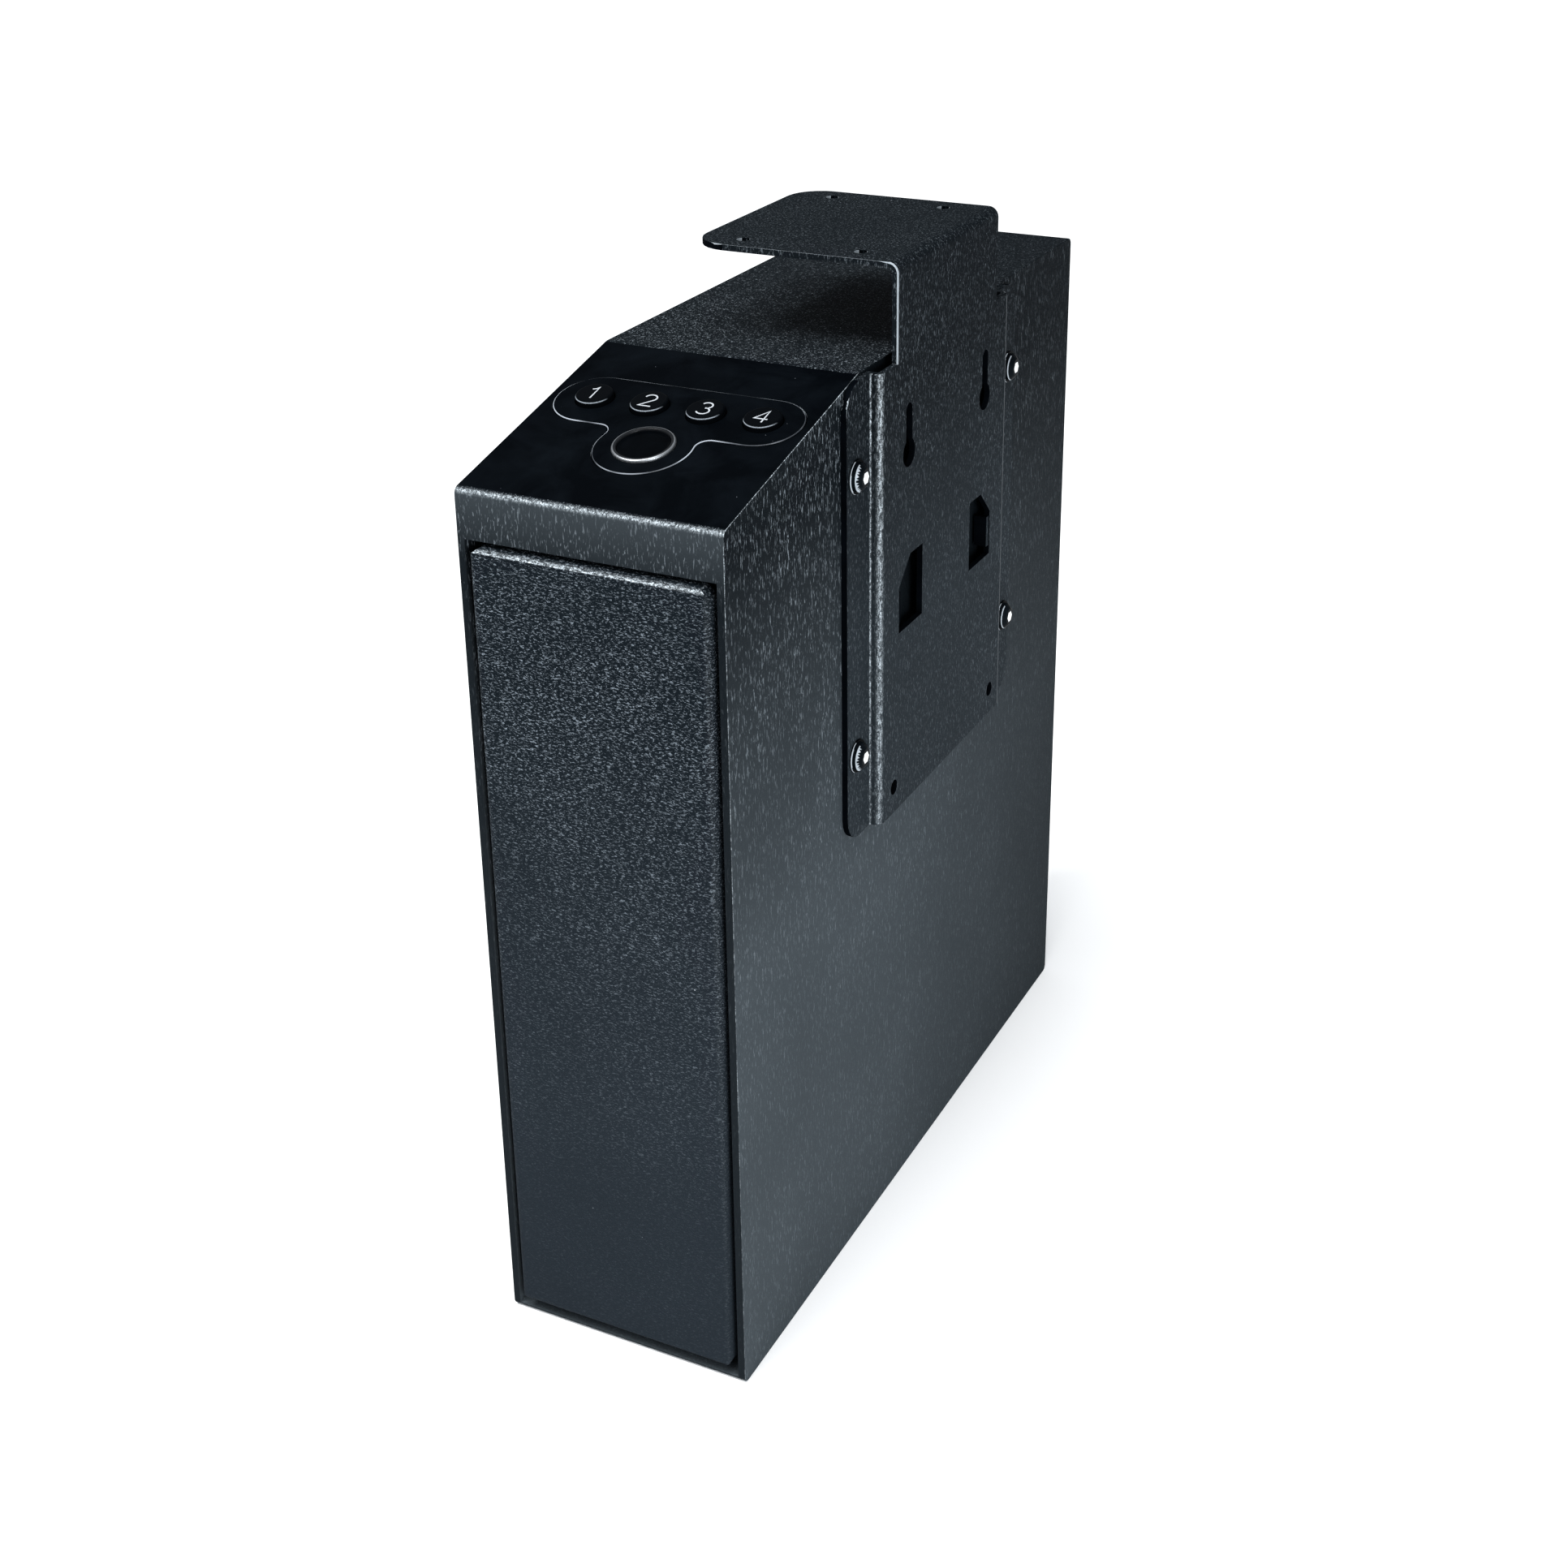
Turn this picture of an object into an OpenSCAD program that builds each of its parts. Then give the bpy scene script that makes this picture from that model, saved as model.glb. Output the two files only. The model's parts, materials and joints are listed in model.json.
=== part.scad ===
// Quick-access wall safe: a folded steel housing with a sloped keypad panel, a drop-front
// drawer hinged at its foot, and a side bracket for a wall or the underside of a desk.
// +X is the bracket side, -Y the front, +Z up. The origin is the centre of the base.

/* [Housing] */
// Outside width of the housing
body_w = 89; // [88:0.5:91]
// Depth of the housing, front frame to back
body_d = 279; // [277:1:285]
// Height of the housing
body_h = 318; // [317:1:320]
// Height of the front edge, where the sloped panel starts
front_h = 297; // [296:1:298]
// Depth of the sloped panel, from the front frame to the crease
crease_y = 89; // [88:0.5:90]
// Sheet thickness of housing, door and bracket
sheet_t = 2; // [2:0.1:2.1]

/* [Door and drawer] */
// Gap around the door inside the frame
door_gap = 1.8; // [1.5:0.1:2]
// How far the door stands out in front of the frame
door_proud = 2; // [1.5:0.1:2]
// Sheet thickness of the drawer tray
tray_t = 1.5; // [1.2:0.1:1.6]
// Thickness of the foam liners
foam_t = 6; // [4:0.5:8]

/* [Keypad] */
// Diameter of a key cap
key_dia = 12; // [11:0.5:12.5]
// Distance between neighbouring keys
key_pitch = 19.3; // [19:0.1:19.6]
// Outside diameter of the ring around the fingerprint sensor
ring_dia = 19.5; // [19:0.5:20]

/* [Bracket] */
// Width of the bracket over both flanges
bracket_w = 141; // [140:1:142]
// Width of the part that stands above the housing
neck_w = 83; // [82:1:84]
// Height of the desk plate above the housing
neck_rise = 31; // [28:1:34]
// Gap between the housing and the bracket's web
web_gap = 4; // [4:0.1:4.2]

/* [Hidden] */
$fn = 48;
cut = 1;
clear = 0.05;

// Housing
front_y = -body_d / 2;
back_y = body_d / 2;
side_x = body_w / 2;
inner_x = side_x - sheet_t;
slope = atan2(body_h - front_h, crease_y);
bend_r = 2.5;
header_z = front_h - 15.5;
frame_x = inner_x - 0.5;
back_flange = 10;
rear_t = 1.5;
ceiling_z = body_h - sheet_t;

// Bracket
bracket_y = front_y + 146.5;
web_x = side_x + web_gap;
web_out = web_x + sheet_t;
flange_w = 17;
flange_lo = 161.5;
flange_hi = body_h - 1;
plate_z = body_h + neck_rise;
plate_end = -22;
screw_dy = 63.75;
screw_z = [191.5, 287];
screw_r = 2.45;
keyhole_dy = 32.2;
keyhole_z = 285.5;
keyhole_r = 4.7;
keyhole_top = 302;
cutout = [[20.5, 39.5], [225.5, 250.5]];
small_hole_dy = 42.75;
small_hole_z = 171;
small_hole_r = 2.6;
desk_hole_x = [-7, 34];
desk_hole_dy = 33;
desk_hole_r = 2.2;

// Keypad, in the sloped panel's own frame: x across, s up the slope, h out of the panel
key_s = 57;
key_x = [for (i = [0:3]) (i - 1.5) * key_pitch];
ring_s = 35.5;
plate_low = 43.5;
plate_r = 13.2;
lobe_r = 15.6;
fillet_r = 4;
recess_h = 0.8;
plate_top = 0.3;
cap_top = 2.2;
board_top = -10.4;
board_t = 1.6;
board_x = 33;
board_s = [12, 80];
board_fix = [[-29, 17], [29, 17], [-29, 75], [29, 75]];

// Inner tray that carries the electronics
deck_z = 270;
deck_t = 1.2;
deck_top = deck_z + deck_t;
deck_y = [front_y + 20, front_y + 264];
deck_x = 41;
post_at = [for (x = [-37, 37]) for (y = [96, 256]) [x, front_y + y]];

// Latch
bolt_at = [-4, front_y + 100];
bolt_r = 5;
bolt_tip = 246.5;
bolt_top = 288;
pin_z = 286.5;
plunger_r = 4;
coil_z = [292, 312];
lock_at = [front_y + 113, 284];
lock_r = 9;
plug_r = 6;
cam_len = 13;
cam_angle = 50;

// Drawer, which turns about the hinge axis
hinge_at = [front_y + 7, 14];
rod_r = 3;
cheek_left = -28;
cheek_right = 35.5;
door_x = frame_x - door_gap;
door_z = [5, header_z - door_gap];
door_depth = 6;
door_corner = 5;
door_edge = 3;
foot_edge = 4.2;
tray_back = front_y + 190;
tray_low = 8.5;
cheek_low = 7.5;
striker_z = 239;
stud_zs = [60, 225];

// Gas strut, in the channel beside the drawer
strut_x = -35.2;
stud_r = 3;
stud_arm = 22;
stud_angle = 75;
stud_at = hinge_at + stud_arm * [cos(stud_angle), sin(stud_angle)];
eye_lift = 0.81;
eye_play = 1.05;
strut_len = 150;
eye_at = stud_at + [0, eye_lift];
anchor_at = eye_at + [strut_len, 0];

// Unit vectors and rounded outlines
function unit(v) = v / norm(v);
// Outline through pts with corner i rounded to radius rads[i]
function rounded(pts, rads, steps = 6) = [
    for (i = [0:len(pts) - 1])
        let (
            n = len(pts),
            b = pts[i],
            u = unit(pts[(i + n - 1) % n] - b),
            v = unit(pts[(i + 1) % n] - b),
            half = acos(u * v) / 2,
            r = rads[i],
            c = b + unit(u + v) * r / sin(half),
            p = b + u * r / tan(half) - c,
            q = b + v * r / tan(half) - c,
            a = atan2(p.y, p.x),
            turn = (atan2(q.y, q.x) - a + 540) % 360 - 180
        )
        each (r <= 0 ? [b] : [for (k = [0:steps]) c + r * [cos(a + turn * k / steps),
            sin(a + turn * k / steps)]])
];
function same(n, value) = [for (i = [1:n]) value];

// A (y, z) outline extruded along X from x0 to x1
module along_x(x0, x1) {
    translate([x0, 0, 0])
        rotate([90, 0, 90])
            linear_extrude(x1 - x0)
                children();
}
// An (x, z) outline extruded along Y from y0 to y1
module along_y(y0, y1) {
    translate([0, y1, 0])
        rotate([90, 0, 0])
            linear_extrude(y1 - y0)
                children();
}
// A box between two opposite corners
module block(a, b) {
    translate(a)
        cube(b - a);
}
// Round bars along each axis
module bar_x(x0, x1, y, z, r) {
    translate([x0, y, z])
        rotate([0, 90, 0])
            cylinder(h = x1 - x0, r = r);
}
module bar_y(y0, y1, x, z, r) {
    translate([x, y0, z])
        rotate([-90, 0, 0])
            cylinder(h = y1 - y0, r = r);
}
module bar_z(z0, z1, x, y, r) {
    translate([x, y, z0])
        cylinder(h = z1 - z0, r = r);
}
// Places children on the sloped panel: X across, Y up the slope, Z out of it
module on_slope() {
    translate([0, front_y, front_h])
        rotate([slope, 0, 0])
            children();
}
// Rounded rectangle between two corners
module round_rect(a, b, r) {
    polygon(rounded([a, [b.x, a.y], b, [a.x, b.y]], same(4, r)));
}

// Housing -------------------------------------------------------------------

module housing_outline(t, r) {
    // The slope's inner surface sits sheet thickness t below the outer one
    drop = t * (1 / cos(slope) - tan(slope));
    crease_in = t * tan(slope / 2);
    polygon(rounded([
        [front_y + t, t],
        [back_y - t, t],
        [back_y - t, body_h - t],
        [front_y + crease_y + crease_in, body_h - t],
        [front_y + t, front_h - drop]
    ], [r, r, r, 4 * bend_r, r]));
}
module housing_shell() {
    color([0.1, 0.11, 0.12])
        difference() {
            along_x(-side_x, side_x)
                housing_outline(0, bend_r);
            along_x(-inner_x, inner_x)
                housing_outline(sheet_t, 0.5);
            // Front opening for the door
            block([-frame_x, front_y - cut, sheet_t], [frame_x, front_y + sheet_t + cut, header_z]);
            // Back opening, closed by the rear panel
            block([-inner_x + back_flange, back_y - sheet_t - cut, back_flange],
                [inner_x - back_flange, back_y + cut, body_h - back_flange]);
            on_slope() {
                translate([0, 0, -recess_h])
                    linear_extrude(recess_h + cut)
                        keypad_outline(0.35);
                for (x = key_x)
                    bar_z(-2 * sheet_t, cut, x, key_s, key_dia / 2 + 0.5);
                bar_z(-2 * sheet_t, cut, 0, ring_s, ring_dia / 2 - 0.6);
            }
            for (dy = [-screw_dy, screw_dy])
                for (z = screw_z)
                    bar_x(inner_x - cut, side_x + cut, bracket_y + dy, z, screw_r + 0.15);
            bar_x(-side_x - cut, -inner_x + cut, lock_at[0], lock_at[1], lock_r + clear);
            for (p = rear_rivet_at)
                bar_y(back_y - sheet_t - cut, back_y + cut, p.x, p.y, 2 + clear);
        }
}
rear_rivet_at = [for (x = [-37.5, 37.5]) for (z = [40, 159, 278]) [x, z]];
module rear_panel() {
    color([0.1, 0.11, 0.12])
        difference() {
            block([-inner_x + 0.5, back_y - sheet_t - rear_t, sheet_t + 0.5],
                [inner_x - 0.5, back_y - sheet_t, ceiling_z - 0.5]);
            for (p = rear_rivet_at)
                bar_y(back_y - sheet_t - rear_t - cut, back_y, p.x, p.y, 2 + clear);
        }
}
module rear_rivets() {
    color("dimgray")
        for (p = rear_rivet_at) {
            bar_y(back_y - sheet_t - rear_t, back_y, p.x, p.y, 2);
            bar_y(back_y, back_y + 1, p.x, p.y, 3.6);
            bar_y(back_y - sheet_t - rear_t - 1.2, back_y - sheet_t - rear_t, p.x, p.y, 3.2);
        }
}

// Mounting bracket ------------------------------------------------------------

module bracket_flange(s) {
    // s is -1 for the flange nearer the front, 1 for the other
    y_in = bracket_y + s * (bracket_w / 2 - flange_w - sheet_t);
    y_out = bracket_y + s * bracket_w / 2;
    along_x(side_x, side_x + sheet_t)
        polygon(rounded([[y_in, flange_lo], [y_out, flange_lo], [y_out, flange_hi], [y_in, flange_hi]],
            [0, 9, 9, 0]));
    lo = min(y_in, y_in + s * sheet_t);
    block([side_x, lo, flange_lo], [web_out, lo + sheet_t, flange_hi]);
}
module web_cutout(s) {
    // The two upper openings, chamfered at their outer top corner
    inner = bracket_y + s * cutout[0][0];
    outer = bracket_y + s * cutout[0][1];
    chamfer = 9;
    low = cutout[1][0];
    high = cutout[1][1];
    along_x(web_x - cut, web_out + cut)
        polygon([[inner, low], [outer, low], [outer, high - chamfer], [outer - s * chamfer, high],
            [inner, high]]);
}
module web_tab(s) {
    // A small tongue bent inwards at each opening's outer edge
    outer = bracket_y + s * cutout[0][1];
    block([side_x + 1, min(outer, outer - s * sheet_t), 228.5],
        [web_out - 0.4, max(outer, outer - s * sheet_t), 239.5]);
}
module keyhole(s) {
    y = bracket_y + s * keyhole_dy;
    bar_x(web_x - cut, web_out + cut, y, keyhole_z, keyhole_r);
    bar_x(web_x - cut, web_out + cut, y, keyhole_top - 2.5, 2.5);
    block([web_x - cut, y - 2.5, keyhole_z], [web_out + cut, y + 2.5, keyhole_top - 2.5]);
}
module mounting_bracket() {
    web_half = bracket_w / 2 - flange_w;
    color([0.12, 0.13, 0.14])
        difference() {
            union() {
                for (s = [-1, 1]) {
                    bracket_flange(s);
                    web_tab(s);
                }
                block([web_x, bracket_y - web_half, flange_lo], [web_out, bracket_y + web_half, flange_hi]);
                // Neck and desk plate, one bent strip
                along_y(bracket_y - neck_w / 2, bracket_y + neck_w / 2)
                    polygon(rounded([
                        [web_x, flange_hi - 20],
                        [web_out, flange_hi - 20],
                        [web_out, plate_z],
                        [0, plate_z],
                        [0, plate_z - sheet_t],
                        [web_x, plate_z - sheet_t]
                    ], [0, 0, 3.5, 0, 0, 1.5]));
                translate([0, 0, plate_z - sheet_t])
                    linear_extrude(sheet_t)
                        polygon(rounded([
                            [plate_end, bracket_y - neck_w / 2],
                            [cut, bracket_y - neck_w / 2],
                            [cut, bracket_y + neck_w / 2],
                            [plate_end, bracket_y + neck_w / 2]
                        ], [12, 0, 0, 12]));
            }
            for (s = [-1, 1]) {
                keyhole(s);
                difference() {
                    web_cutout(s);
                    web_tab(s);
                }
                bar_x(web_x - cut, web_out + cut, bracket_y + s * small_hole_dy, small_hole_z, small_hole_r);
                for (z = screw_z)
                    bar_x(side_x - cut, side_x + sheet_t + cut, bracket_y + s * screw_dy, z, screw_r + 0.15);
                for (x = desk_hole_x)
                    bar_z(plate_z - sheet_t - cut, plate_z + cut, x, bracket_y + s * desk_hole_dy, desk_hole_r);
            }
        }
}
module at_bracket_screws() {
    for (s = [-1, 1])
        for (z = screw_z)
            translate([0, bracket_y + s * screw_dy, z])
                rotate([0, 90, 0])
                    children();
}
washer_top = side_x + sheet_t + 0.8;
module bracket_screws() {
    color("dimgray")
        at_bracket_screws()
            difference() {
                union() {
                    translate([0, 0, inner_x - 3.5])
                        cylinder(h = washer_top - inner_x + 3.5, r = screw_r);
                    translate([0, 0, washer_top])
                        rotate_extrude()
                            polygon(rounded([[0, 0], [4.75, 0], [4.75, 1.1], [3, 2.6], [0, 2.6]],
                                [0, 0, 0.6, 0.6, 0], 4));
                }
                translate([0, 0, washer_top + 1])
                    cylinder(h = 2, r = 1.75, $fn = 6);
            }
}
module bracket_washers() {
    color([0.05, 0.05, 0.06])
        at_bracket_screws()
            translate([0, 0, side_x + sheet_t])
                difference() {
                    cylinder(h = 0.8, r = 5.6);
                    translate([0, 0, -cut])
                        cylinder(h = 0.8 + 2 * cut, r = screw_r + clear);
                }
}
module bracket_nuts() {
    color("silver")
        at_bracket_screws()
            translate([0, 0, inner_x - 3.5])
                difference() {
                    cylinder(h = 3.5, r = 4.6, $fn = 6);
                    translate([0, 0, -cut])
                        cylinder(h = 3.5 + 2 * cut, r = screw_r + clear);
                }
}

// Keypad and sensor -------------------------------------------------------------

// Points along an arc, ends included
function arc(centre, r, from, to, steps) = [
    for (k = [0:steps])
        let (a = from + (to - from) * k / steps)
        centre + r * [cos(a), sin(a)]
];
// Outline of the keypad plate grown by g: a capsule round the keys with a lobe round the sensor
module keypad_outline(g) {
    half = plate_r + g;
    low = plate_low - g;
    lobe = lobe_r + g;
    f = fillet_r - g;
    fy = low - f;
    fx = sqrt((lobe + f) * (lobe + f) - (fy - ring_s) * (fy - ring_s));
    tangent = atan2(fy - ring_s, fx);
    end_x = 42 - plate_r - 0.2;
    polygon(concat(
        arc([0, ring_s], lobe, 180 - tangent, 360 + tangent, 40),
        arc([fx, fy], f, 180 + tangent, 90, 8),
        arc([end_x, low + half], half, -90, 90, 28),
        arc([-end_x, low + half], half, 90, 270, 28),
        arc([-fx, fy], f, 90, -tangent, 8)
    ));
}
module keypad_plate() {
    color([0.14, 0.15, 0.16])
        on_slope()
            difference() {
                translate([0, 0, -recess_h])
                    linear_extrude(recess_h + plate_top)
                        keypad_outline(0);
                for (x = key_x)
                    bar_z(-sheet_t, cut, x, key_s, key_dia / 2 + 0.25);
                bar_z(-sheet_t, cut, 0, ring_s, ring_dia / 2 - 0.6);
            }
}
module sensor_ring() {
    outer = ring_dia / 2;
    bore = outer - 1.5;
    color("silver")
        on_slope()
            translate([0, ring_s, 0])
                rotate_extrude()
                    polygon(rounded([
                        [bore, -4], [outer - 0.7, -4], [outer - 0.7, plate_top], [outer, plate_top],
                        [outer, 1.3], [bore, 1.3]
                    ], [0, 0, 0, 0, 0.6, 0.5], 4));
}
module sensor_lens() {
    color([0.02, 0.02, 0.025])
        on_slope()
            translate([0, ring_s, 0])
                rotate_extrude()
                    polygon(rounded([[0, -1], [ring_dia / 2 - 1.5, -1], [ring_dia / 2 - 1.5, 0.6],
                        [ring_dia / 2 - 2.6, 0.3], [0, 0.3]], [0, 0, 0.2, 0.4, 0], 4));
}
module sensor_module() {
    color([0.05, 0.05, 0.05])
        on_slope() {
            bar_z(-5, -1, 0, ring_s, ring_dia / 2 - 1.5);
            block([-11, ring_s - 11, board_top], [11, ring_s + 11, -5]);
        }
}
// Keys slide into the panel; a flange under the sheet keeps them in
module key(i) {
    color([0.16, 0.17, 0.18])
        on_slope()
            translate([key_x[i], key_s, 0])
                rotate_extrude()
                    polygon(rounded([
                        [0, -6.1], [2, -6.1], [2, -3.4], [key_dia / 2 + 1.2, -3.4], [key_dia / 2 + 1.2, -2.4],
                        [key_dia / 2, -2.4], [key_dia / 2, cap_top], [0, cap_top]
                    ], [0, 0, 0, 0, 0, 0, 0.9, 0]));
}
module key_1() { key(0); }
module key_2() { key(1); }
module key_3() { key(2); }
module key_4() { key(3); }
module key_switches() {
    color([0.2, 0.2, 0.2])
        on_slope()
            for (x = key_x) {
                block([x - 3, key_s - 3, board_top], [x + 3, key_s + 3, -7.8]);
                bar_z(-7.8, -7.3, x, key_s, 1.7);
            }
}
module control_board() {
    color([0.05, 0.3, 0.15])
        on_slope()
            difference() {
                block([-board_x, board_s[0], board_top - board_t], [board_x, board_s[1], board_top]);
                for (p = board_fix)
                    bar_z(board_top - board_t - cut, board_top + cut, p.x, p.y, 1.6);
            }
}
module board_chips() {
    under = board_top - board_t;
    color([0.06, 0.06, 0.07])
        on_slope() {
            block([-8, 38, under - 1.6], [8, 54, under]);
            block([14, 40, under - 1.2], [22, 46, under]);
            block([-24, 44, under - 1.2], [-15, 49, under]);
            block([-14, 64, under - 2.4], [12, 70, under]);
        }
}
module board_standoffs() {
    color("goldenrod")
        on_slope()
            for (p = board_fix)
                difference() {
                    bar_z(board_top, -sheet_t, p.x, p.y, 2.8);
                    bar_z(board_top - cut, board_top + 5, p.x, p.y, 1.5);
                }
}
module board_screws() {
    under = board_top - board_t;
    color("silver")
        on_slope()
            for (p = board_fix) {
                bar_z(under, board_top + 4, p.x, p.y, 1.45);
                bar_z(under - 1.6, under, p.x, p.y, 2.7);
            }
}
module buzzer() {
    color([0.08, 0.08, 0.08])
        on_slope()
            bar_z(board_top - board_t - 6, board_top - board_t, 20, 58, 5);
}

// Electronics deck ----------------------------------------------------------------

hatch_y = [front_y + 152, front_y + 212];
hatch_x = 31;
module electronics_tray() {
    color([0.25, 0.26, 0.27])
        difference() {
            union() {
                block([-deck_x, deck_y[0], deck_z], [deck_x, deck_y[1], deck_top]);
                block([-deck_x, deck_y[0], deck_top], [deck_x, deck_y[0] + deck_t, deck_top + 11]);
                block([-deck_x, deck_y[1] - deck_t, deck_top], [deck_x, deck_y[1], deck_top + 11]);
            }
            bar_z(deck_z - cut, deck_top + cut, bolt_at.x, bolt_at.y, 7);
            block([-hatch_x, hatch_y[0], deck_z - cut], [hatch_x, hatch_y[1], deck_top + cut]);
            for (p = post_at)
                bar_z(deck_z - cut, deck_top + cut, p.x, p.y, 1.6);
            for (p = coil_foot_at)
                bar_z(deck_z - cut, deck_top + cut, p.x, p.y, 1.6);
        }
}
module tray_standoffs() {
    color("goldenrod")
        for (p = post_at)
            difference() {
                bar_z(deck_top, ceiling_z, p.x, p.y, 3);
                bar_z(deck_top - cut, deck_top + 7, p.x, p.y, 1.5);
            }
}
module tray_screws() {
    color("silver")
        for (p = post_at) {
            bar_z(deck_z, deck_top + 6, p.x, p.y, 1.45);
            bar_z(deck_z - 1.6, deck_z, p.x, p.y, 2.7);
        }
}
cell_r = 7.1;
cell_x = [for (i = [0:3]) (i - 1.5) * 14.6];
cell_y = [front_y + 157, front_y + 207];
cell_z = deck_top + 0.8 + cell_r;
module battery_box() {
    color([0.07, 0.07, 0.08])
        difference() {
            block([-hatch_x, hatch_y[0] - 1.5, deck_top], [hatch_x, hatch_y[1] + 1.5, deck_top + 18]);
            block([-hatch_x + 1.5, hatch_y[0], deck_top - cut],
                [hatch_x - 1.5, hatch_y[1], deck_top + 16.5]);
        }
}
module batteries() {
    color([0.7, 0.55, 0.2])
        for (x = cell_x) {
            bar_y(cell_y[0], cell_y[1] - 1, x, cell_z, cell_r);
            bar_y(cell_y[1] - 1, cell_y[1], x, cell_z, 2.7);
        }
}
module battery_contacts() {
    color("silver")
        for (x = cell_x) {
            block([x - 5, hatch_y[0], cell_z - 5], [x + 5, hatch_y[0] + 0.4, cell_z + 5]);
            bar_y(hatch_y[0] + 0.4, cell_y[0], x, cell_z, 2.4);
            block([x - 5, hatch_y[1] - 0.4, cell_z - 5], [x + 5, hatch_y[1], cell_z + 5]);
            bar_y(cell_y[1], hatch_y[1] - 0.4, x, cell_z, 2.4);
        }
}
module battery_cover() {
    grip_y = hatch_y[0] + 8;
    color([0.07, 0.07, 0.08])
        difference() {
            union() {
                block([-hatch_x + 0.3, hatch_y[0] + 0.3, deck_z],
                    [hatch_x - 0.3, hatch_y[1] - 0.3, deck_top]);
                block([-hatch_x - 3, hatch_y[0] - 3, deck_z - 1.5], [hatch_x + 3, hatch_y[1] + 3, deck_z]);
            }
            for (i = [0:3])
                block([-10, grip_y + 4 * i, deck_z - 1.5 - cut], [10, grip_y + 4 * i + 2, deck_z - 0.9]);
        }
}

// Latch ------------------------------------------------------------------------------

coil_half = 12;
leg_y = [bolt_at.y - coil_half - 2, bolt_at.y + coil_half];
coil_foot_at = [for (s = [-1, 1]) for (x = [-8, 8]) [bolt_at.x + x, bolt_at.y + s * (coil_half + 6)]];
module solenoid_frame() {
    x0 = bolt_at.x - 13;
    x1 = bolt_at.x + 13;
    color("silver")
        difference() {
            union() {
                block([x0, leg_y[0], coil_z[1]], [x1, leg_y[1] + 2, coil_z[1] + 2]);
                block([x0, leg_y[0], coil_z[0] - 2], [x1, leg_y[1] + 2, coil_z[0]]);
                for (y = leg_y)
                    block([x0, y, deck_top], [x1, y + 2, coil_z[1]]);
                block([x0, leg_y[0] - 7, deck_top], [x1, leg_y[0], deck_top + 2]);
                block([x0, leg_y[1] + 2, deck_top], [x1, leg_y[1] + 9, deck_top + 2]);
            }
            bar_z(coil_z[0] - 2 - cut, coil_z[0] + cut, bolt_at.x, bolt_at.y, plunger_r + 0.3);
            for (p = coil_foot_at)
                bar_z(deck_top - cut, deck_top + 2 + cut, p.x, p.y, 1.6);
        }
}
module solenoid_coil() {
    color([0.55, 0.25, 0.08])
        difference() {
            union() {
                bar_z(coil_z[0] + 1.2, coil_z[1] - 1.2, bolt_at.x, bolt_at.y, 10);
                bar_z(coil_z[0], coil_z[0] + 1.2, bolt_at.x, bolt_at.y, 11.5);
                bar_z(coil_z[1] - 1.2, coil_z[1], bolt_at.x, bolt_at.y, 11.5);
            }
            bar_z(coil_z[0] - cut, coil_z[1] - 3, bolt_at.x, bolt_at.y, plunger_r + 0.3);
        }
}
module solenoid_screws() {
    color("silver")
        for (p = coil_foot_at) {
            bar_z(deck_top + 2, deck_top + 3.6, p.x, p.y, 2.7);
            bar_z(deck_z - 1, deck_top + 2, p.x, p.y, 1.45);
        }
}
module bolt_guide() {
    color("ivory")
        translate([bolt_at.x, bolt_at.y, 0])
            rotate_extrude()
                polygon([[bolt_r + clear, deck_z - 3], [8.5, deck_z - 3], [8.5, deck_z], [6.95, deck_z],
                    [6.95, deck_top + 0.9], [bolt_r + clear, deck_top + 0.9]]);
}
// Drawn back at rest, as the solenoid leaves it when the safe is unlocked
module latch_bolt() {
    color("lightgray") {
        difference() {
            bar_z(bolt_tip, bolt_top, bolt_at.x, bolt_at.y, bolt_r);
            // Ramp on the front of the nose, which rides over the striker
            along_x(bolt_at.x - 8, bolt_at.x + 8)
                polygon([[bolt_at.y - 7, bolt_tip - cut], [bolt_at.y + 2, bolt_tip - cut],
                    [bolt_at.y - 7, bolt_tip + 8]]);
        }
        bar_z(bolt_top, coil_z[1] - 4, bolt_at.x, bolt_at.y, plunger_r);
        bar_x(bolt_at.x - 18.5, bolt_at.x - bolt_r + 1, bolt_at.y, pin_z, 2);
    }
}
module lock_body() {
    color("silver")
        difference() {
            union() {
                bar_x(-side_x - 1.6, -side_x, lock_at[0], lock_at[1], 11);
                bar_x(-side_x, -24, lock_at[0], lock_at[1], lock_r);
            }
            bar_x(-side_x - 2 - cut, -24 + cut, lock_at[0], lock_at[1], plug_r + clear);
        }
}
module lock_nut() {
    color("goldenrod")
        translate([-inner_x, lock_at[0], lock_at[1]])
            rotate([0, 90, 0])
                difference() {
                    cylinder(h = 3, r = 12.4, $fn = 6);
                    translate([0, 0, -cut])
                        cylinder(h = 3 + 2 * cut, r = lock_r + clear);
                }
}
module lock_plug() {
    color("gainsboro")
        difference() {
            bar_x(-side_x - 2, -21.5, lock_at[0], lock_at[1], plug_r);
            block([-side_x - 2 - cut, lock_at[0] - 0.8, lock_at[1] - 4.2],
                [-side_x + 10, lock_at[0] + 0.8, lock_at[1] + 4.2]);
        }
}
// Finger that lifts the bolt's cross pin when the key is turned
module lock_cam() {
    tip = lock_at + cam_len * [-cos(cam_angle), -sin(cam_angle)];
    color("silver")
        along_x(-21.5, -19.5) {
            translate(lock_at)
                circle(r = 5);
            translate(tip)
                circle(r = 2);
            translate(lock_at)
                rotate(180 + cam_angle)
                    translate([0, -2])
                        square([cam_len, 4]);
        }
}

// Hinge, strut anchor and bumpers ---------------------------------------------------------

ear_x = [cheek_left + tray_t + 1, cheek_right - tray_t - 3];
foot_y = [hinge_at[0] + 2.8, hinge_at[0] + 27];
foot_top = sheet_t + 1.5;
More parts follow.
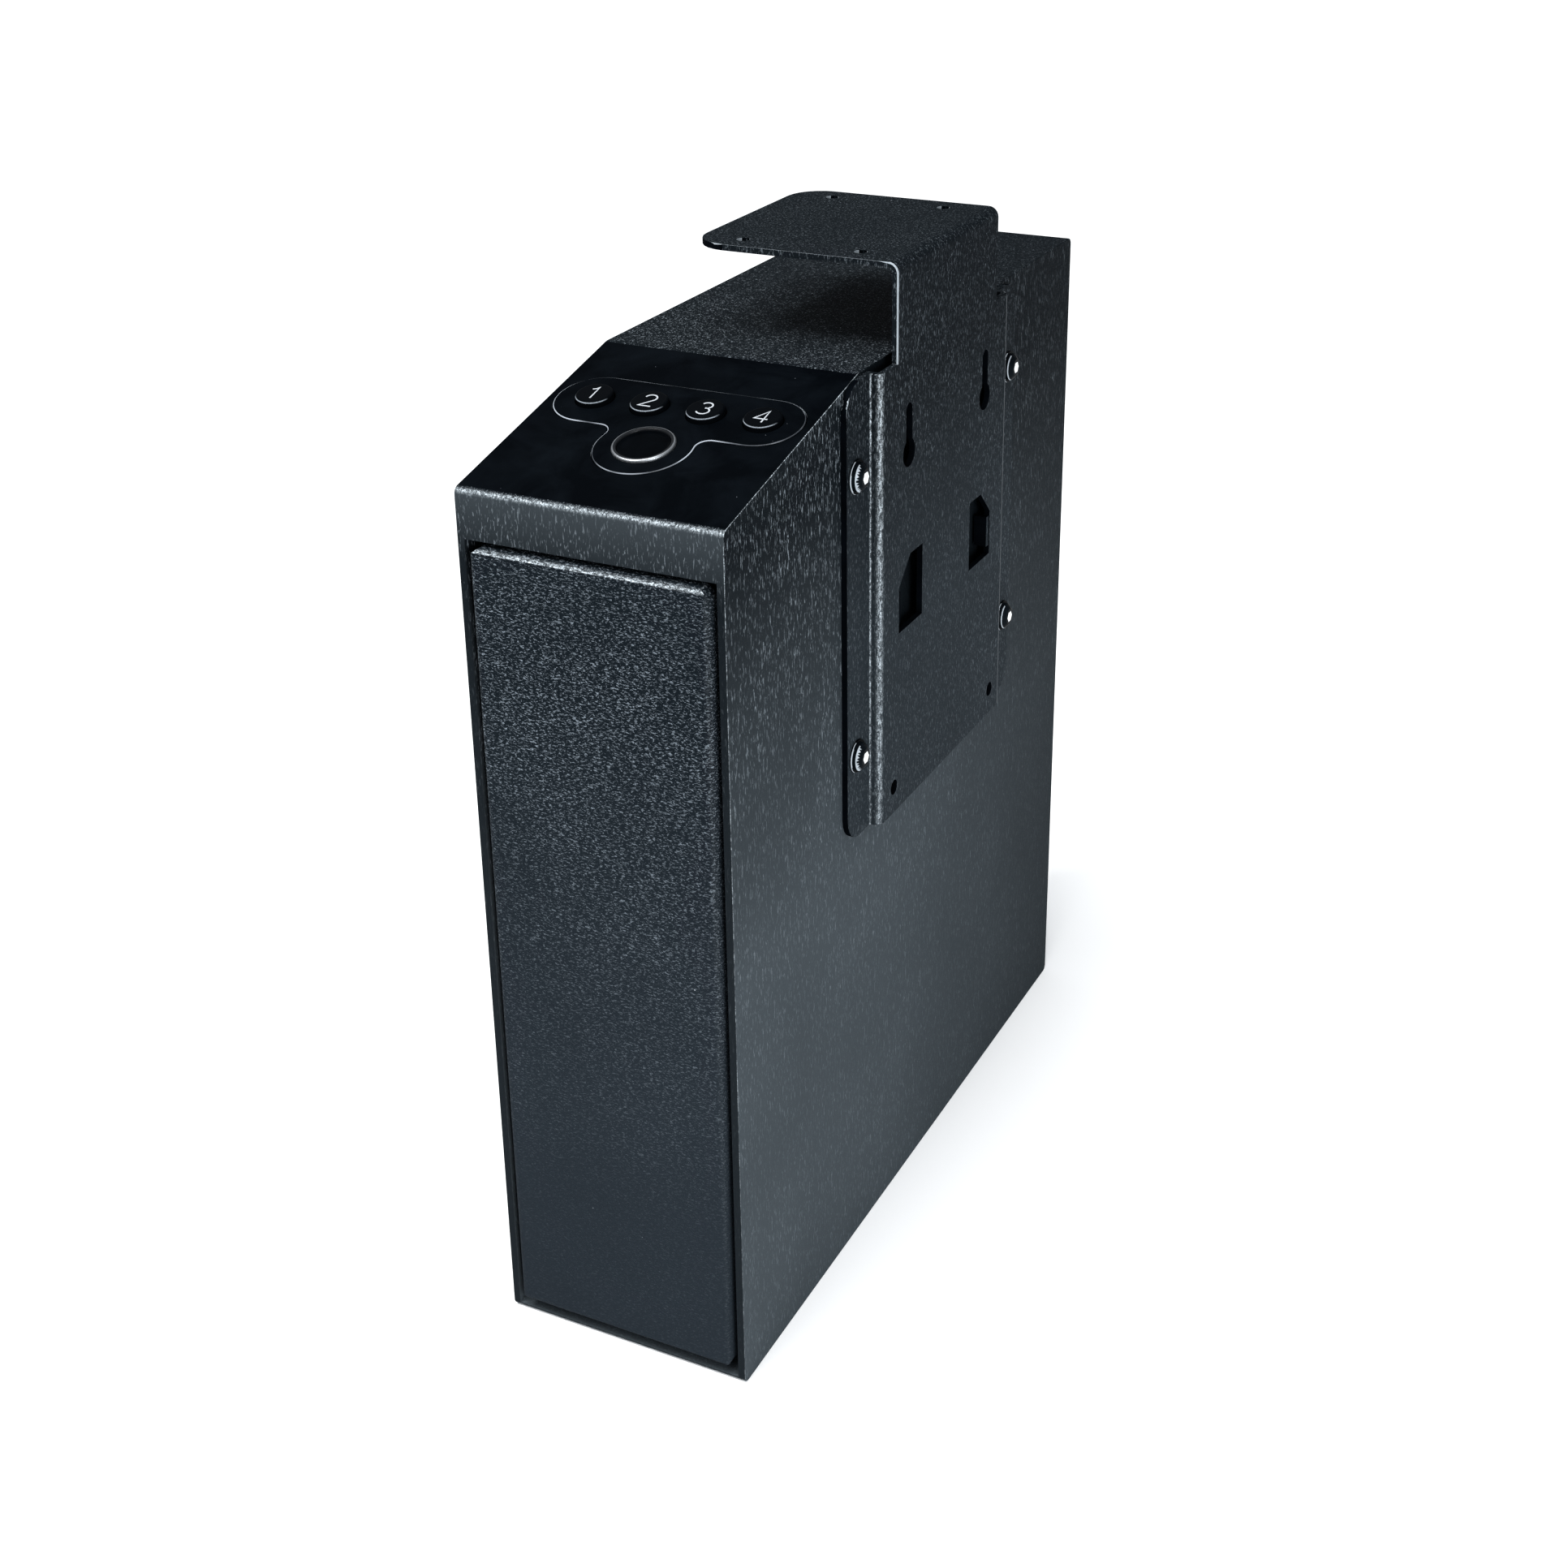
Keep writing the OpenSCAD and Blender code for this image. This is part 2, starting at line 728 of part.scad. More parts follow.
// The legs stand behind the hinge axis, clear of the door's foot as it swings under
module hinge_bracket() {
    ear_r = 5.5;
    color([0.3, 0.31, 0.32])
        difference() {
            union() {
                block([ear_x[0], foot_y[0], sheet_t], [ear_x[1] + 2, foot_y[1], foot_top]);
                for (x = ear_x) {
                    along_x(x, x + 2)
                        polygon([[foot_y[0], foot_top], [foot_y[0] + 12, foot_top],
                            [foot_y[0] + 2.2, hinge_at[1]], [foot_y[0], hinge_at[1]]]);
                    bar_x(x, x + 2, hinge_at[0], hinge_at[1], ear_r);
                }
            }
            bar_x(ear_x[0] - cut, ear_x[1] + 2 + cut, hinge_at[0], hinge_at[1], rod_r);
        }
}
module hinge_rivets() {
    color("silver")
        for (x = [-12, 22])
            bar_z(foot_top, foot_top + 1.2, x, hinge_at[0] + 20, 3.2);
}
module hinge_rod() {
    color("silver")
        bar_x(cheek_left - 2.6, cheek_right + 2.1, hinge_at[0], hinge_at[1], rod_r);
}
module hinge_clips() {
    color([0.2, 0.2, 0.2])
        for (x = [cheek_left - 1.4, cheek_right + 0.5])
            difference() {
                bar_x(x, x + 0.8, hinge_at[0], hinge_at[1], 5);
                bar_x(x - cut, x + 0.8 + cut, hinge_at[0], hinge_at[1], rod_r);
            }
}
module strut_anchor() {
    color([0.3, 0.31, 0.32]) {
        block([-inner_x, anchor_at[0] - 12, anchor_at[1] - 12],
            [-inner_x + 1.5, anchor_at[0] + 12, anchor_at[1] + 12]);
        bar_x(-inner_x + 1.5, strut_x - 3, anchor_at[0], anchor_at[1], 4.5);
        bar_x(strut_x - 3, strut_x + 3.6, anchor_at[0], anchor_at[1], stud_r);
        bar_x(strut_x + 3.6, strut_x + 4.6, anchor_at[0], anchor_at[1], 4.5);
    }
}
module door_bumpers() {
    color([0.04, 0.04, 0.04])
        for (x = [-34, 20])
            bar_y(front_y + 0.8, deck_y[0], x, deck_z + 4.6, 2.1);
}

// Door and drawer ------------------------------------------------------------------------

module door_panel() {
    outer_y = front_y - door_proud;
    back = front_y + door_depth - door_proud;
    wide = [door_edge, door_edge, 0, 0];
    color([0.12, 0.13, 0.14])
        difference() {
            intersection() {
                along_y(outer_y, back)
                    round_rect([-door_x, door_z[0]], [door_x, door_z[1]], door_corner);
                translate([0, 0, door_z[0] - cut])
                    linear_extrude(door_z[1] - door_z[0] + 2 * cut)
                        polygon(rounded([[-door_x, outer_y], [door_x, outer_y], [door_x, back + cut],
                            [-door_x, back + cut]], wide));
                along_x(-door_x - cut, door_x + cut)
                    polygon(rounded([[outer_y, door_z[0]], [back + cut, door_z[0]], [back + cut, door_z[1]],
                        [outer_y, door_z[1]]], [foot_edge, 0, 0, door_edge]));
            }
            // Hollow behind, and open at the foot so that it clears the hinge
            along_y(outer_y + sheet_t, back + cut)
                round_rect([-door_x + sheet_t, -door_z[0]], [door_x - sheet_t, door_z[1] - sheet_t],
                    door_corner - sheet_t);
        }
}
door_in = front_y - door_proud + sheet_t;
stud_spots = [for (x = [-15, 22]) for (z = stud_zs) [x, z]];
module door_studs() {
    color("silver")
        for (p = stud_spots)
            bar_y(door_in, door_in + tray_t + 4, p.x, p.y, 1.95);
}
module door_nuts() {
    color("silver")
        for (p = stud_spots)
            translate([p.x, door_in + tray_t + 3, p.y])
                rotate([90, 0, 0])
                    difference() {
                        cylinder(h = 3, r = 4, $fn = 6);
                        translate([0, 0, -cut])
                            cylinder(h = 3 + 2 * cut, r = 1.95 + clear);
                    }
}
// Side outline of the drawer's cheeks, pulled in by g for the liners
module cheek_outline(g) {
    polygon(rounded([
        [door_in + g, cheek_low + g],
        [tray_back - g, cheek_low + g],
        [tray_back - g, 120 - g],
        [front_y + 150 - g, 190 - g],
        [front_y + 110 - g, 241 - g],
        [front_y + 50, 255 - g],
        [door_in + g, 271 - g]
    ], [0, 8, 12, 12, 8, 12, 4]));
}
module drawer_tray() {
    color([0.18, 0.19, 0.2])
        difference() {
            union() {
                for (x = [cheek_left, cheek_right - tray_t])
                    along_x(x, x + tray_t)
                        cheek_outline(0);
                block([cheek_left, door_in, 24], [cheek_right, door_in + tray_t, 262]);
                block([cheek_left, front_y + 24, tray_low],
                    [cheek_right, tray_back - 8, tray_low + tray_t]);
                block([cheek_left, tray_back - tray_t, 14], [cheek_right, tray_back, 108]);
                // Ledges that carry the striker plate
                for (x = [cheek_left + tray_t, cheek_right - tray_t - 9])
                    block([x, front_y + 84, striker_z - 2 - tray_t], [x + 9, front_y + 108, striker_z - 2]);
            }
            bar_x(cheek_left - cut, cheek_left + tray_t + cut, hinge_at[0], hinge_at[1], rod_r + clear);
            bar_x(cheek_right - tray_t - cut, cheek_right + cut, hinge_at[0], hinge_at[1], rod_r + clear);
            for (p = stud_spots)
                bar_y(door_in - cut, door_in + tray_t + cut, p.x, p.y, 2.1);
            for (p = striker_fix)
                bar_z(striker_z - 2 - tray_t - cut, striker_z - 2 + cut, p.x, p.y, 1.6);
        }
}
module liner(x) {
    color([0.13, 0.13, 0.14])
        along_x(x, x + foam_t)
            difference() {
                intersection() {
                    cheek_outline(3.5);
                    translate([front_y, 0])
                        square([body_d, striker_z - 10]);
                }
                translate(hinge_at)
                    circle(r = 13);
            }
}
module left_liner() { liner(cheek_left + tray_t); }
module right_liner() { liner(cheek_right - tray_t - foam_t); }
module base_liner() {
    color([0.13, 0.13, 0.14])
        block([cheek_left + tray_t + foam_t + 0.5, front_y + 36, tray_low + tray_t],
            [cheek_right - tray_t - foam_t - 0.5, tray_back - 14, tray_low + tray_t + foam_t]);
}
striker_fix = [for (x = [cheek_left + tray_t + 5, cheek_right - tray_t - 5]) [x, front_y + 96]];
module striker_plate() {
    hole = bolt_r + 0.7;
    color("silver")
        difference() {
            block([cheek_left + tray_t + 0.3, front_y + 86, striker_z - 2],
                [cheek_right - tray_t - 0.3, front_y + 108, striker_z]);
            // Square hole that takes the bolt
            block([bolt_at.x - hole, bolt_at.y - hole, striker_z - 2 - cut],
                [bolt_at.x + hole, bolt_at.y + hole, striker_z + cut]);
            for (p = striker_fix)
                bar_z(striker_z - 2 - cut, striker_z + cut, p.x, p.y, 1.6);
        }
}
module striker_screws() {
    color("silver")
        for (p = striker_fix) {
            bar_z(striker_z, striker_z + 1.6, p.x, p.y, 2.7);
            bar_z(striker_z - 2 - tray_t - 1, striker_z, p.x, p.y, 1.45);
        }
}
module strut_stud() {
    color("silver") {
        bar_x(strut_x + 3.2, cheek_left, stud_at[0], stud_at[1], 4.5);
        bar_x(strut_x - 2.9, strut_x + 3.2, stud_at[0], stud_at[1], stud_r);
        bar_x(strut_x - 3.9, strut_x - 2.9, stud_at[0], stud_at[1], stud_r + eye_play + 1.2);
    }
}

// Gas strut --------------------------------------------------------------------------------

// Eye that fits over a pin along X
module eye(at, outer, bore) {
    difference() {
        bar_x(strut_x - 2.5, strut_x + 2.5, at[0], at[1], outer);
        bar_x(strut_x - 2.5 - cut, strut_x + 2.5 + cut, at[0], at[1], bore);
    }
}
tube_y = [anchor_at[0] - 90, anchor_at[0] - 12];
module strut_cylinder() {
    color([0.05, 0.05, 0.06])
        difference() {
            union() {
                bar_y(tube_y[0], tube_y[1], strut_x, anchor_at[1], 5);
                bar_y(tube_y[1], anchor_at[0] - 5, strut_x, anchor_at[1], 2.1);
                bar_x(strut_x - 2.5, strut_x + 2.5, anchor_at[0], anchor_at[1], 6.5);
            }
            bar_x(strut_x - 2.5 - cut, strut_x + 2.5 + cut, anchor_at[0], anchor_at[1], stud_r + clear);
            bar_y(tube_y[0] - cut, tube_y[1] - 6, strut_x, anchor_at[1], 2 + clear);
        }
}
module strut_rod() {
    color("lightgray") {
        eye(eye_at, 6.8, stud_r + eye_play);
        difference() {
            bar_y(eye_at[0] + 4.8, eye_at[0] + 14, strut_x, eye_at[1], 2.2);
            bar_x(strut_x - 3, strut_x + 3, eye_at[0], eye_at[1], stud_r + eye_play);
        }
        bar_y(eye_at[0] + 14, tube_y[1] - 10, strut_x, eye_at[1], 2);
    }
}

housing_shell();
rear_panel();
rear_rivets();
mounting_bracket();
bracket_screws();
bracket_washers();
bracket_nuts();
keypad_plate();
sensor_ring();
sensor_lens();
sensor_module();
control_board();
board_chips();
key_switches();
board_standoffs();
board_screws();
buzzer();
electronics_tray();
tray_standoffs();
tray_screws();
battery_box();
batteries();
battery_contacts();
battery_cover();
solenoid_frame();
solenoid_coil();
solenoid_screws();
bolt_guide();
lock_body();
lock_nut();
hinge_bracket();
hinge_rivets();
hinge_rod();
hinge_clips();
strut_anchor();
door_bumpers();
door_panel();
door_studs();
door_nuts();
drawer_tray();
left_liner();
right_liner();
base_liner();
striker_plate();
striker_screws();
strut_stud();
strut_cylinder();
strut_rod();
latch_bolt();
lock_plug();
lock_cam();
key_1();
key_2();
key_3();
key_4();
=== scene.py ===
import json
import math

import bmesh
import bpy
from mathutils import Matrix, Vector, noise


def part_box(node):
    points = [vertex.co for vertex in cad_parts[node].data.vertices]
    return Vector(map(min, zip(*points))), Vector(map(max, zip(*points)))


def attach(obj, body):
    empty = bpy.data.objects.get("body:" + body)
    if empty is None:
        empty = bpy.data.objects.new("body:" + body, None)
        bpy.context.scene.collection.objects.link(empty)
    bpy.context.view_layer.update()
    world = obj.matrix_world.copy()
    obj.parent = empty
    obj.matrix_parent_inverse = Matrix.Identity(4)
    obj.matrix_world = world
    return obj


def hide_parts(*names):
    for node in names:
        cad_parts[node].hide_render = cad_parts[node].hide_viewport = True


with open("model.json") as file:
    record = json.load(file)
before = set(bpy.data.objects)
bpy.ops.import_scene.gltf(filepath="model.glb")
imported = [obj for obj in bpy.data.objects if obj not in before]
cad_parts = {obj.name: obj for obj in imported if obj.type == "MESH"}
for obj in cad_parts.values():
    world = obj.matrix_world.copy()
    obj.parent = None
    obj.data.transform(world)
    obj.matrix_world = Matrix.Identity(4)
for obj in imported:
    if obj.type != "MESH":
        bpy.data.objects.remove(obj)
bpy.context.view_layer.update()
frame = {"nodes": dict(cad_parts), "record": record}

MM = 0.001
NODES = frame["nodes"]
JOINTS = {j["name"]: j for j in frame["record"]["behaviour"]["joints"]}
BODY_OF = {n: b for b, names in frame["record"]["behaviour"]["bodies"].items() for n in names}

# The housing's own planes, all read from the frame
HOUSE_LO, HOUSE_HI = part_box("housing_shell")
FRONT_Y = HOUSE_LO.y
SIDE_X = HOUSE_HI.x
ROOF_Z = HOUSE_HI.z
X_AXIS, Y_AXIS, Z_AXIS = (1, 0, 0), (0, 1, 0), (0, 0, 1)
# Unit vectors out of the sloped panel and up along it
SLOPE_OUT = -Vector(JOINTS["key_1_press"]["axis"]).normalized()
SLOPE_UP = SLOPE_OUT.cross(Vector(X_AXIS)).normalized()
# Each subpart's material slot
SLOT_OF = {s["node"]: s["material_slot"] for s in frame["record"]["subparts"]}


# Camera, lights and floor ------------------------------------------------------------------


def make_camera():
    """The camera stands where the photograph's perspective puts it, measured from the front frame."""
    azimuth, elevation, roll = map(math.radians, (26.812, 22.684, -0.869))
    focal_px, frame_px = 2764.6, 1932.0
    place = Vector((319.2, -507.1, 517.6)) * MM + Vector((0, FRONT_Y, 0))
    back = Vector(
        (
            math.sin(azimuth) * math.cos(elevation),
            -math.cos(azimuth) * math.cos(elevation),
            math.sin(elevation),
        )
    )
    right = Vector((math.cos(azimuth), math.sin(azimuth), 0))
    up = back.cross(right)
    turned_right = right * math.cos(roll) + up * math.sin(roll)
    turned_up = up * math.cos(roll) - right * math.sin(roll)
    data = bpy.data.cameras.new("camera")
    data.sensor_width = 36
    data.lens = focal_px / frame_px * data.sensor_width
    data.shift_y = -0.117
    data.clip_start, data.clip_end = 0.02, 20
    camera = bpy.data.objects.new("camera", data)
    bpy.context.collection.objects.link(camera)
    rotation = Matrix((turned_right, turned_up, back)).transposed()
    camera.matrix_world = Matrix.Translation(place) @ rotation.to_4x4()
    bpy.context.scene.camera = camera


def area_light(name, place, target, size, power, colour=(1, 1, 1)):
    data = bpy.data.lights.new(name, "AREA")
    data.shape = "RECTANGLE"
    data.size, data.size_y = size
    data.energy = power
    data.color = colour
    light = bpy.data.objects.new(name, data)
    bpy.context.collection.objects.link(light)
    light.location = place
    light.rotation_euler = (Vector(target) - Vector(place)).to_track_quat("-Z", "Y").to_euler()


def make_sky():
    """A soft sky lights the object, while the camera sees a white backdrop."""
    world = bpy.data.worlds.new("studio")
    world.use_nodes = True
    tree = world.node_tree
    sky = tree.nodes["Background"]
    sky.inputs["Color"].default_value = (0.9, 0.95, 1.0, 1)
    sky.inputs["Strength"].default_value = 0.42
    backdrop = add(tree, "Background", Strength=1.0, Color=(1, 1, 1, 1))
    choose = add(tree, "MixShader")
    tree.links.new(add(tree, "LightPath").outputs["Is Camera Ray"], choose.inputs[0])
    tree.links.new(sky.outputs[0], choose.inputs[1])
    tree.links.new(backdrop.outputs[0], choose.inputs[2])
    tree.links.new(choose.outputs[0], tree.nodes["World Output"].inputs["Surface"])
    bpy.context.scene.world = world


def make_light():
    """One broad key from above, and three small lights for the folds, the door's edge and the side."""
    bpy.context.scene.view_settings.view_transform = "Standard"
    sun = bpy.data.lights.new("key_light", "SUN")
    sun.energy = 2.7
    sun.angle = math.radians(34)
    key = bpy.data.objects.new("key_light", sun)
    bpy.context.collection.objects.link(key)
    key.rotation_euler = Vector((-0.06, 0.3, -0.95)).to_track_quat("-Z", "Y").to_euler()
    area_light("bend_light", (-0.5, -0.6, 1.25), (0, -0.13, 0.25), (0.3, 0.3), 12)
    area_light("door_light", (-0.2, -0.62, 0.66), (0, -0.14, 0.25), (0.2, 0.2), 1.3)
    area_light("fill_light", (0.95, -0.75, 0.4), (0.04, -0.05, 0.12), (0.5, 0.5), 9, (0.93, 0.97, 1.0))


def make_floor():
    bpy.ops.mesh.primitive_plane_add(size=60, location=(0, 0, HOUSE_LO.z))
    floor = bpy.context.object
    floor.name = "floor"
    paper = new_material("floor_paper", (0.95, 0.95, 0.95), 0.95, specular=0.0)[0]
    floor.data.materials.append(paper)


# Materials -----------------------------------------------------------------------------------


def new_material(name, colour, rough, metal=0.0, specular=0.5):
    mat = bpy.data.materials.new(name)
    mat.use_nodes = True
    tree = mat.node_tree
    shader = tree.nodes["Principled BSDF"]
    shader.inputs["Base Color"].default_value = (*colour, 1)
    shader.inputs["Roughness"].default_value = rough
    shader.inputs["Metallic"].default_value = metal
    shader.inputs["Specular IOR Level"].default_value = specular
    return mat, tree, shader


def add(tree, kind, **settings):
    node = tree.nodes.new("ShaderNode" + kind)
    for key, value in settings.items():
        if key in node.bl_rna.properties:
            setattr(node, key, value)
        else:
            node.inputs[key.replace("_", " ")].default_value = value
    return node


def position(tree, scale=(1, 1, 1)):
    """Object coordinates in millimetres, stretched by scale."""
    coords = add(tree, "TexCoord")
    mapping = add(tree, "Mapping")
    mapping.inputs["Scale"].default_value = tuple(s / MM for s in scale)
    tree.links.new(coords.outputs["Object"], mapping.inputs["Vector"])
    return mapping.outputs["Vector"]


def noise_at(tree, vector, scale, detail=2.0, rough=0.5, distort=0.0):
    """Noise of that scale per unit of the vector, from 0 to 1."""
    node = add(tree, "TexNoise", Scale=scale, Detail=detail, Roughness=rough, Distortion=distort)
    tree.links.new(vector, node.inputs["Vector"])
    return node.outputs["Fac"]


def remap(tree, value, low, high, out_low=0.0, out_high=1.0):
    node = add(tree, "MapRange")
    for key, number in zip(("From Min", "From Max", "To Min", "To Max"), (low, high, out_low, out_high)):
        node.inputs[key].default_value = number
    tree.links.new(value, node.inputs["Value"])
    return node.outputs["Result"]


def maths(tree, operation, a, b):
    node = add(tree, "Math", operation=operation)
    for socket, value in zip(node.inputs, (a, b)):
        if isinstance(value, (int, float)):
            socket.default_value = value
        else:
            tree.links.new(value, socket)
    return node.outputs["Value"]


def times(tree, first, *rest):
    """The product of all the values."""
    for value in rest:
        first = maths(tree, "MULTIPLY", first, value)
    return first


def mix_colour(tree, factor, a, b):
    node = add(tree, "Mix", data_type="RGBA")
    for socket, value in ((node.inputs[0], factor), (node.inputs[6], a), (node.inputs[7], b)):
        if isinstance(value, tuple):
            socket.default_value = (*value, 1)
        else:
            tree.links.new(value, socket)
    return node.outputs[2]


def bump(tree, shader, height, distance):
    """Raises the surface by height times distance, in millimetres."""
    node = add(tree, "Bump", Strength=1.0, Distance=distance * MM)
    tree.links.new(height, node.inputs["Height"])
    tree.links.new(node.outputs["Normal"], shader.inputs["Normal"])


def flecks(tree, vector, scale, size, share):
    """Sparse round specks: 1 in a speck, 0 elsewhere. share is how many cells carry one."""
    cells = add(tree, "TexVoronoi", Scale=scale)
    tree.links.new(vector, cells.inputs["Vector"])
    near = remap(tree, cells.outputs["Distance"], size, size * 0.5)
    split = add(tree, "SeparateColor")
    tree.links.new(cells.outputs["Color"], split.inputs["Color"])
    chosen = maths(tree, "GREATER_THAN", split.outputs["Red"], 1 - share)
    return maths(tree, "MULTIPLY", near, chosen)


def largest(tree, values):
    top = values[0]
    for value in values[1:]:
        top = maths(tree, "MAXIMUM", top, value)
    return top


def dot_with(tree, vector, direction):
    node = add(tree, "VectorMath", operation="DOT_PRODUCT")
    tree.links.new(vector, node.inputs[0])
    node.inputs[1].default_value = direction
    return node.outputs["Value"]


def along(tree, direction):
    """How far a point lies along a direction, in metres of the object's own coordinates."""
    return dot_with(tree, add(tree, "TexCoord").outputs["Object"], direction)


def facing(tree, direction):
    """The cosine between the object's own normal and a direction."""
    return dot_with(tree, add(tree, "TexCoord").outputs["Normal"], tuple(direction))


def bend_mask(tree, rise, low):
    """1 on folds that cross the front-to-back direction, and 0 on the flats, from the object's own normal.

    rise is how far up a fold has to face to count in full, and low what it keeps below that.
    """
    x, y, z = (facing(tree, axis) for axis in (X_AXIS, Y_AXIS, Z_AXIS))
    sizes = [maths(tree, "ABSOLUTE", value, 0.0) for value in (x, y, z)]
    flat = largest(tree, [*sizes, facing(tree, SLOPE_OUT)])
    bend = remap(tree, flat, 0.993, 0.78)
    across = remap(tree, sizes[1], 0.05, 0.14)
    upper = remap(tree, z, *rise, low, 1.0)
    return times(tree, bend, across, upper)


def height_mask(tree, low, high, least=0.0):
    """Grows from least at one height in metres to 1 at the other."""
    return remap(tree, along(tree, Z_AXIS), low, high, least, 1.0)


def housing_haze_and_shade(tree, hazy_light, patchy, shade, deep):
    """Varies the painted haze and glints over the housing: full at the front, thinner towards the back, and
    nearly none behind the bracket's web, a painted shade there.

    shade gives the edges of the patch behind the web, and deep the depths between which both thin out,
    leaving the back darker. The door's header gets the haze as a painted highlight, a soft light band
    under its fold, and the rim around the door loses most of both.
    """
    # The haze and glints thin out towards the back, leaving the back darker.
    depth = along(tree, Y_AXIS)
    hazy_light = times(tree, hazy_light, remap(tree, depth, *deep, 0.4, 1.0))
    patchy = times(tree, patchy, remap(tree, depth, *deep, 0.3, 1.0))
    # Painted shade: behind the bracket's web the haze and glints drop to 4 %.
    behind_web = facing(tree, X_AXIS)
    for value, (start, end) in zip((depth, depth, along(tree, Z_AXIS)), shade):
        behind_web = times(tree, behind_web, remap(tree, value, start, end))
    lit = remap(tree, behind_web, 0.0, 1.0, 1.0, 0.04)
    # Painted highlight: a soft light band across the door's header, under its fold.
    forward = facing(tree, (0, -1, 0))
    header = times(tree, remap(tree, forward, 0.5, 0.9, 0.0, 0.5), height_mask(tree, 0.275, 0.296))
    rim = times(tree, remap(tree, forward, 0.5, 0.9, 0.0, 0.9), height_mask(tree, 0.285, 0.275))
    clean = maths(tree, "SUBTRACT", 1.0, rim)
    hazy_light = largest(tree, [times(tree, hazy_light, lit, clean), header])
    return hazy_light, times(tree, patchy, lit, maths(tree, "SUBTRACT", clean, header))


def powder_coat(
    name, dark, light, grain, share, rough, depth, fleck_share=0.03, ior=1.03,
    bends=None, fade=None, haze=None, deep=None, shade=None,
):
    """Textured black powder coat: light strands over a dark ground, painted highlights standing for glints on
    the wrinkled grain.

    share is the band of the noise that turns light. bends is the rise and low of bend_mask with the
    strength of the painted highlight there, partly real wear. fade is the heights between which the grain
    and its painted glints grow from faint to full. haze is a colour with the heights between which it greys
    the ground: painted light from the floor, stronger lower down. deep and shade are passed on for the
    housing's haze and painted shade. The low ior keeps the white floor from greying the sides at grazing
    angles.
    """
    mat, tree, shader = new_material(name, dark, rough)
    shader.inputs["IOR"].default_value = ior
    shader.inputs["Specular Tint"].default_value = (0.84, 0.94, 1.0, 1)
    plain = position(tree)
    wrinkle = noise_at(tree, position(tree, grain), 1.0, 2.0, 0.5, 0.9)
    fine = noise_at(tree, plain, 2.6)
    cloud = noise_at(tree, plain, 0.018, 3.0, 0.55)
    strands = times(tree, remap(tree, wrinkle, *share), remap(tree, fine, 0.3, 0.6, 0.35, 1.0))
    patchy = times(tree, strands, remap(tree, cloud, 0.36, 0.66, 0.6, 1.0))
    height = maths(tree, "ADD", wrinkle, times(tree, fine, 0.4))
    # Painted highlight: the glints grow towards the top, as under a light from above.
    if fade is not None:
        grown = height_mask(tree, *fade)
        patchy = times(tree, patchy, grown)
        height = times(tree, height, remap(tree, grown, 0, 1, 0.4, 1.0))
    ground = dark
    # Painted light: a grey haze over the ground, stronger lower down, standing for light bounced from the
    # floor.
    if haze is not None:
        grey, none_at, full_at = haze
        hazy_light = times(tree, height_mask(tree, none_at, full_at), remap(tree, cloud, 0.3, 0.7, 0.85, 1.0))
        if shade is not None:
            hazy_light, patchy = housing_haze_and_shade(tree, hazy_light, patchy, shade, deep)
        ground = mix_colour(tree, hazy_light, dark, grey)
    # Painted highlights: the light strands stand for glints on the wrinkled coat.
    colour = mix_colour(tree, patchy, ground, light)
    # Painted highlight: a light, broken band along the upward-facing folds, brighter higher up, partly real
    # wear.
    if bends is not None:
        rise, low, strength = bends
        glinted_where = times(tree, bend_mask(tree, rise, low), height_mask(tree, 0.02, 0.24, 0.3))
        by_wrinkle = remap(tree, wrinkle, 0.4, 0.62, 0.12, 1.0)
        broken = times(tree, by_wrinkle, remap(tree, fine, 0.36, 0.6, 0.2, 1.0))
        glint = times(tree, glinted_where, broken, strength)
        colour = mix_colour(tree, glint, colour, (0.6, 0.67, 0.72))
    specks = flecks(tree, plain, 0.22, 0.06, fleck_share)
    tree.links.new(mix_colour(tree, specks, colour, (0.3, 0.33, 0.36)), shader.inputs["Base Color"])
    tree.links.new(remap(tree, fine, 0.3, 0.7, rough - 0.08, rough + 0.1), shader.inputs["Roughness"])
    bump(tree, shader, height, depth)
    return mat


def slope_finish(name):
    """The panel under the keypad: a smooth, almost black satin with a little dust; on the housing's slope its
    near-black is painted shade.
    """
    mat, tree, shader = new_material(name, (0.002, 0.0024, 0.003), 0.4)
    shader.inputs["IOR"].default_value = 1.035
    plain = position(tree)
    fine = noise_at(tree, plain, 1.6)
    dust = largest(tree, [flecks(tree, plain, 0.3, 0.05, 0.12), flecks(tree, plain, 0.12, 0.02, 0.25)])
    smudge = noise_at(tree, plain, 0.05, 4.0, 0.6, 0.6)
    clean, smudged = (0.0008, 0.0012, 0.0018), (0.0022, 0.0032, 0.0045)
    ground = mix_colour(tree, remap(tree, smudge, 0.4, 0.72), clean, smudged)
    tree.links.new(mix_colour(tree, dust, ground, (0.1, 0.11, 0.13)), shader.inputs["Base Color"])
    tree.links.new(remap(tree, smudge, 0.35, 0.7, 0.34, 0.48), shader.inputs["Roughness"])
    bump(tree, shader, fine, 0.02)
    return mat


def moulded(name, colour, rough, grain=6.0, depth=0.02, ior=1.35):
    """Plastic, enamel or oxide with a fine grain of that depth in millimetres and faint handling marks."""
    mat, tree, shader = new_material(name, colour, rough)
    shader.inputs["IOR"].default_value = ior
    plain = position(tree)
    fine = noise_at(tree, plain, grain)
    smudge = noise_at(tree, plain, 0.08, 4.0, 0.6, 0.8)
    tint = tuple(min(1.0, c * 2.0, c * 1.35 + 0.003) for c in colour)
    handled = mix_colour(tree, remap(tree, smudge, 0.35, 0.7), colour, tint)
    tree.links.new(handled, shader.inputs["Base Color"])
    tree.links.new(remap(tree, smudge, 0.3, 0.7, rough - 0.06, rough + 0.1), shader.inputs["Roughness"])
    bump(tree, shader, fine, depth)
    return mat


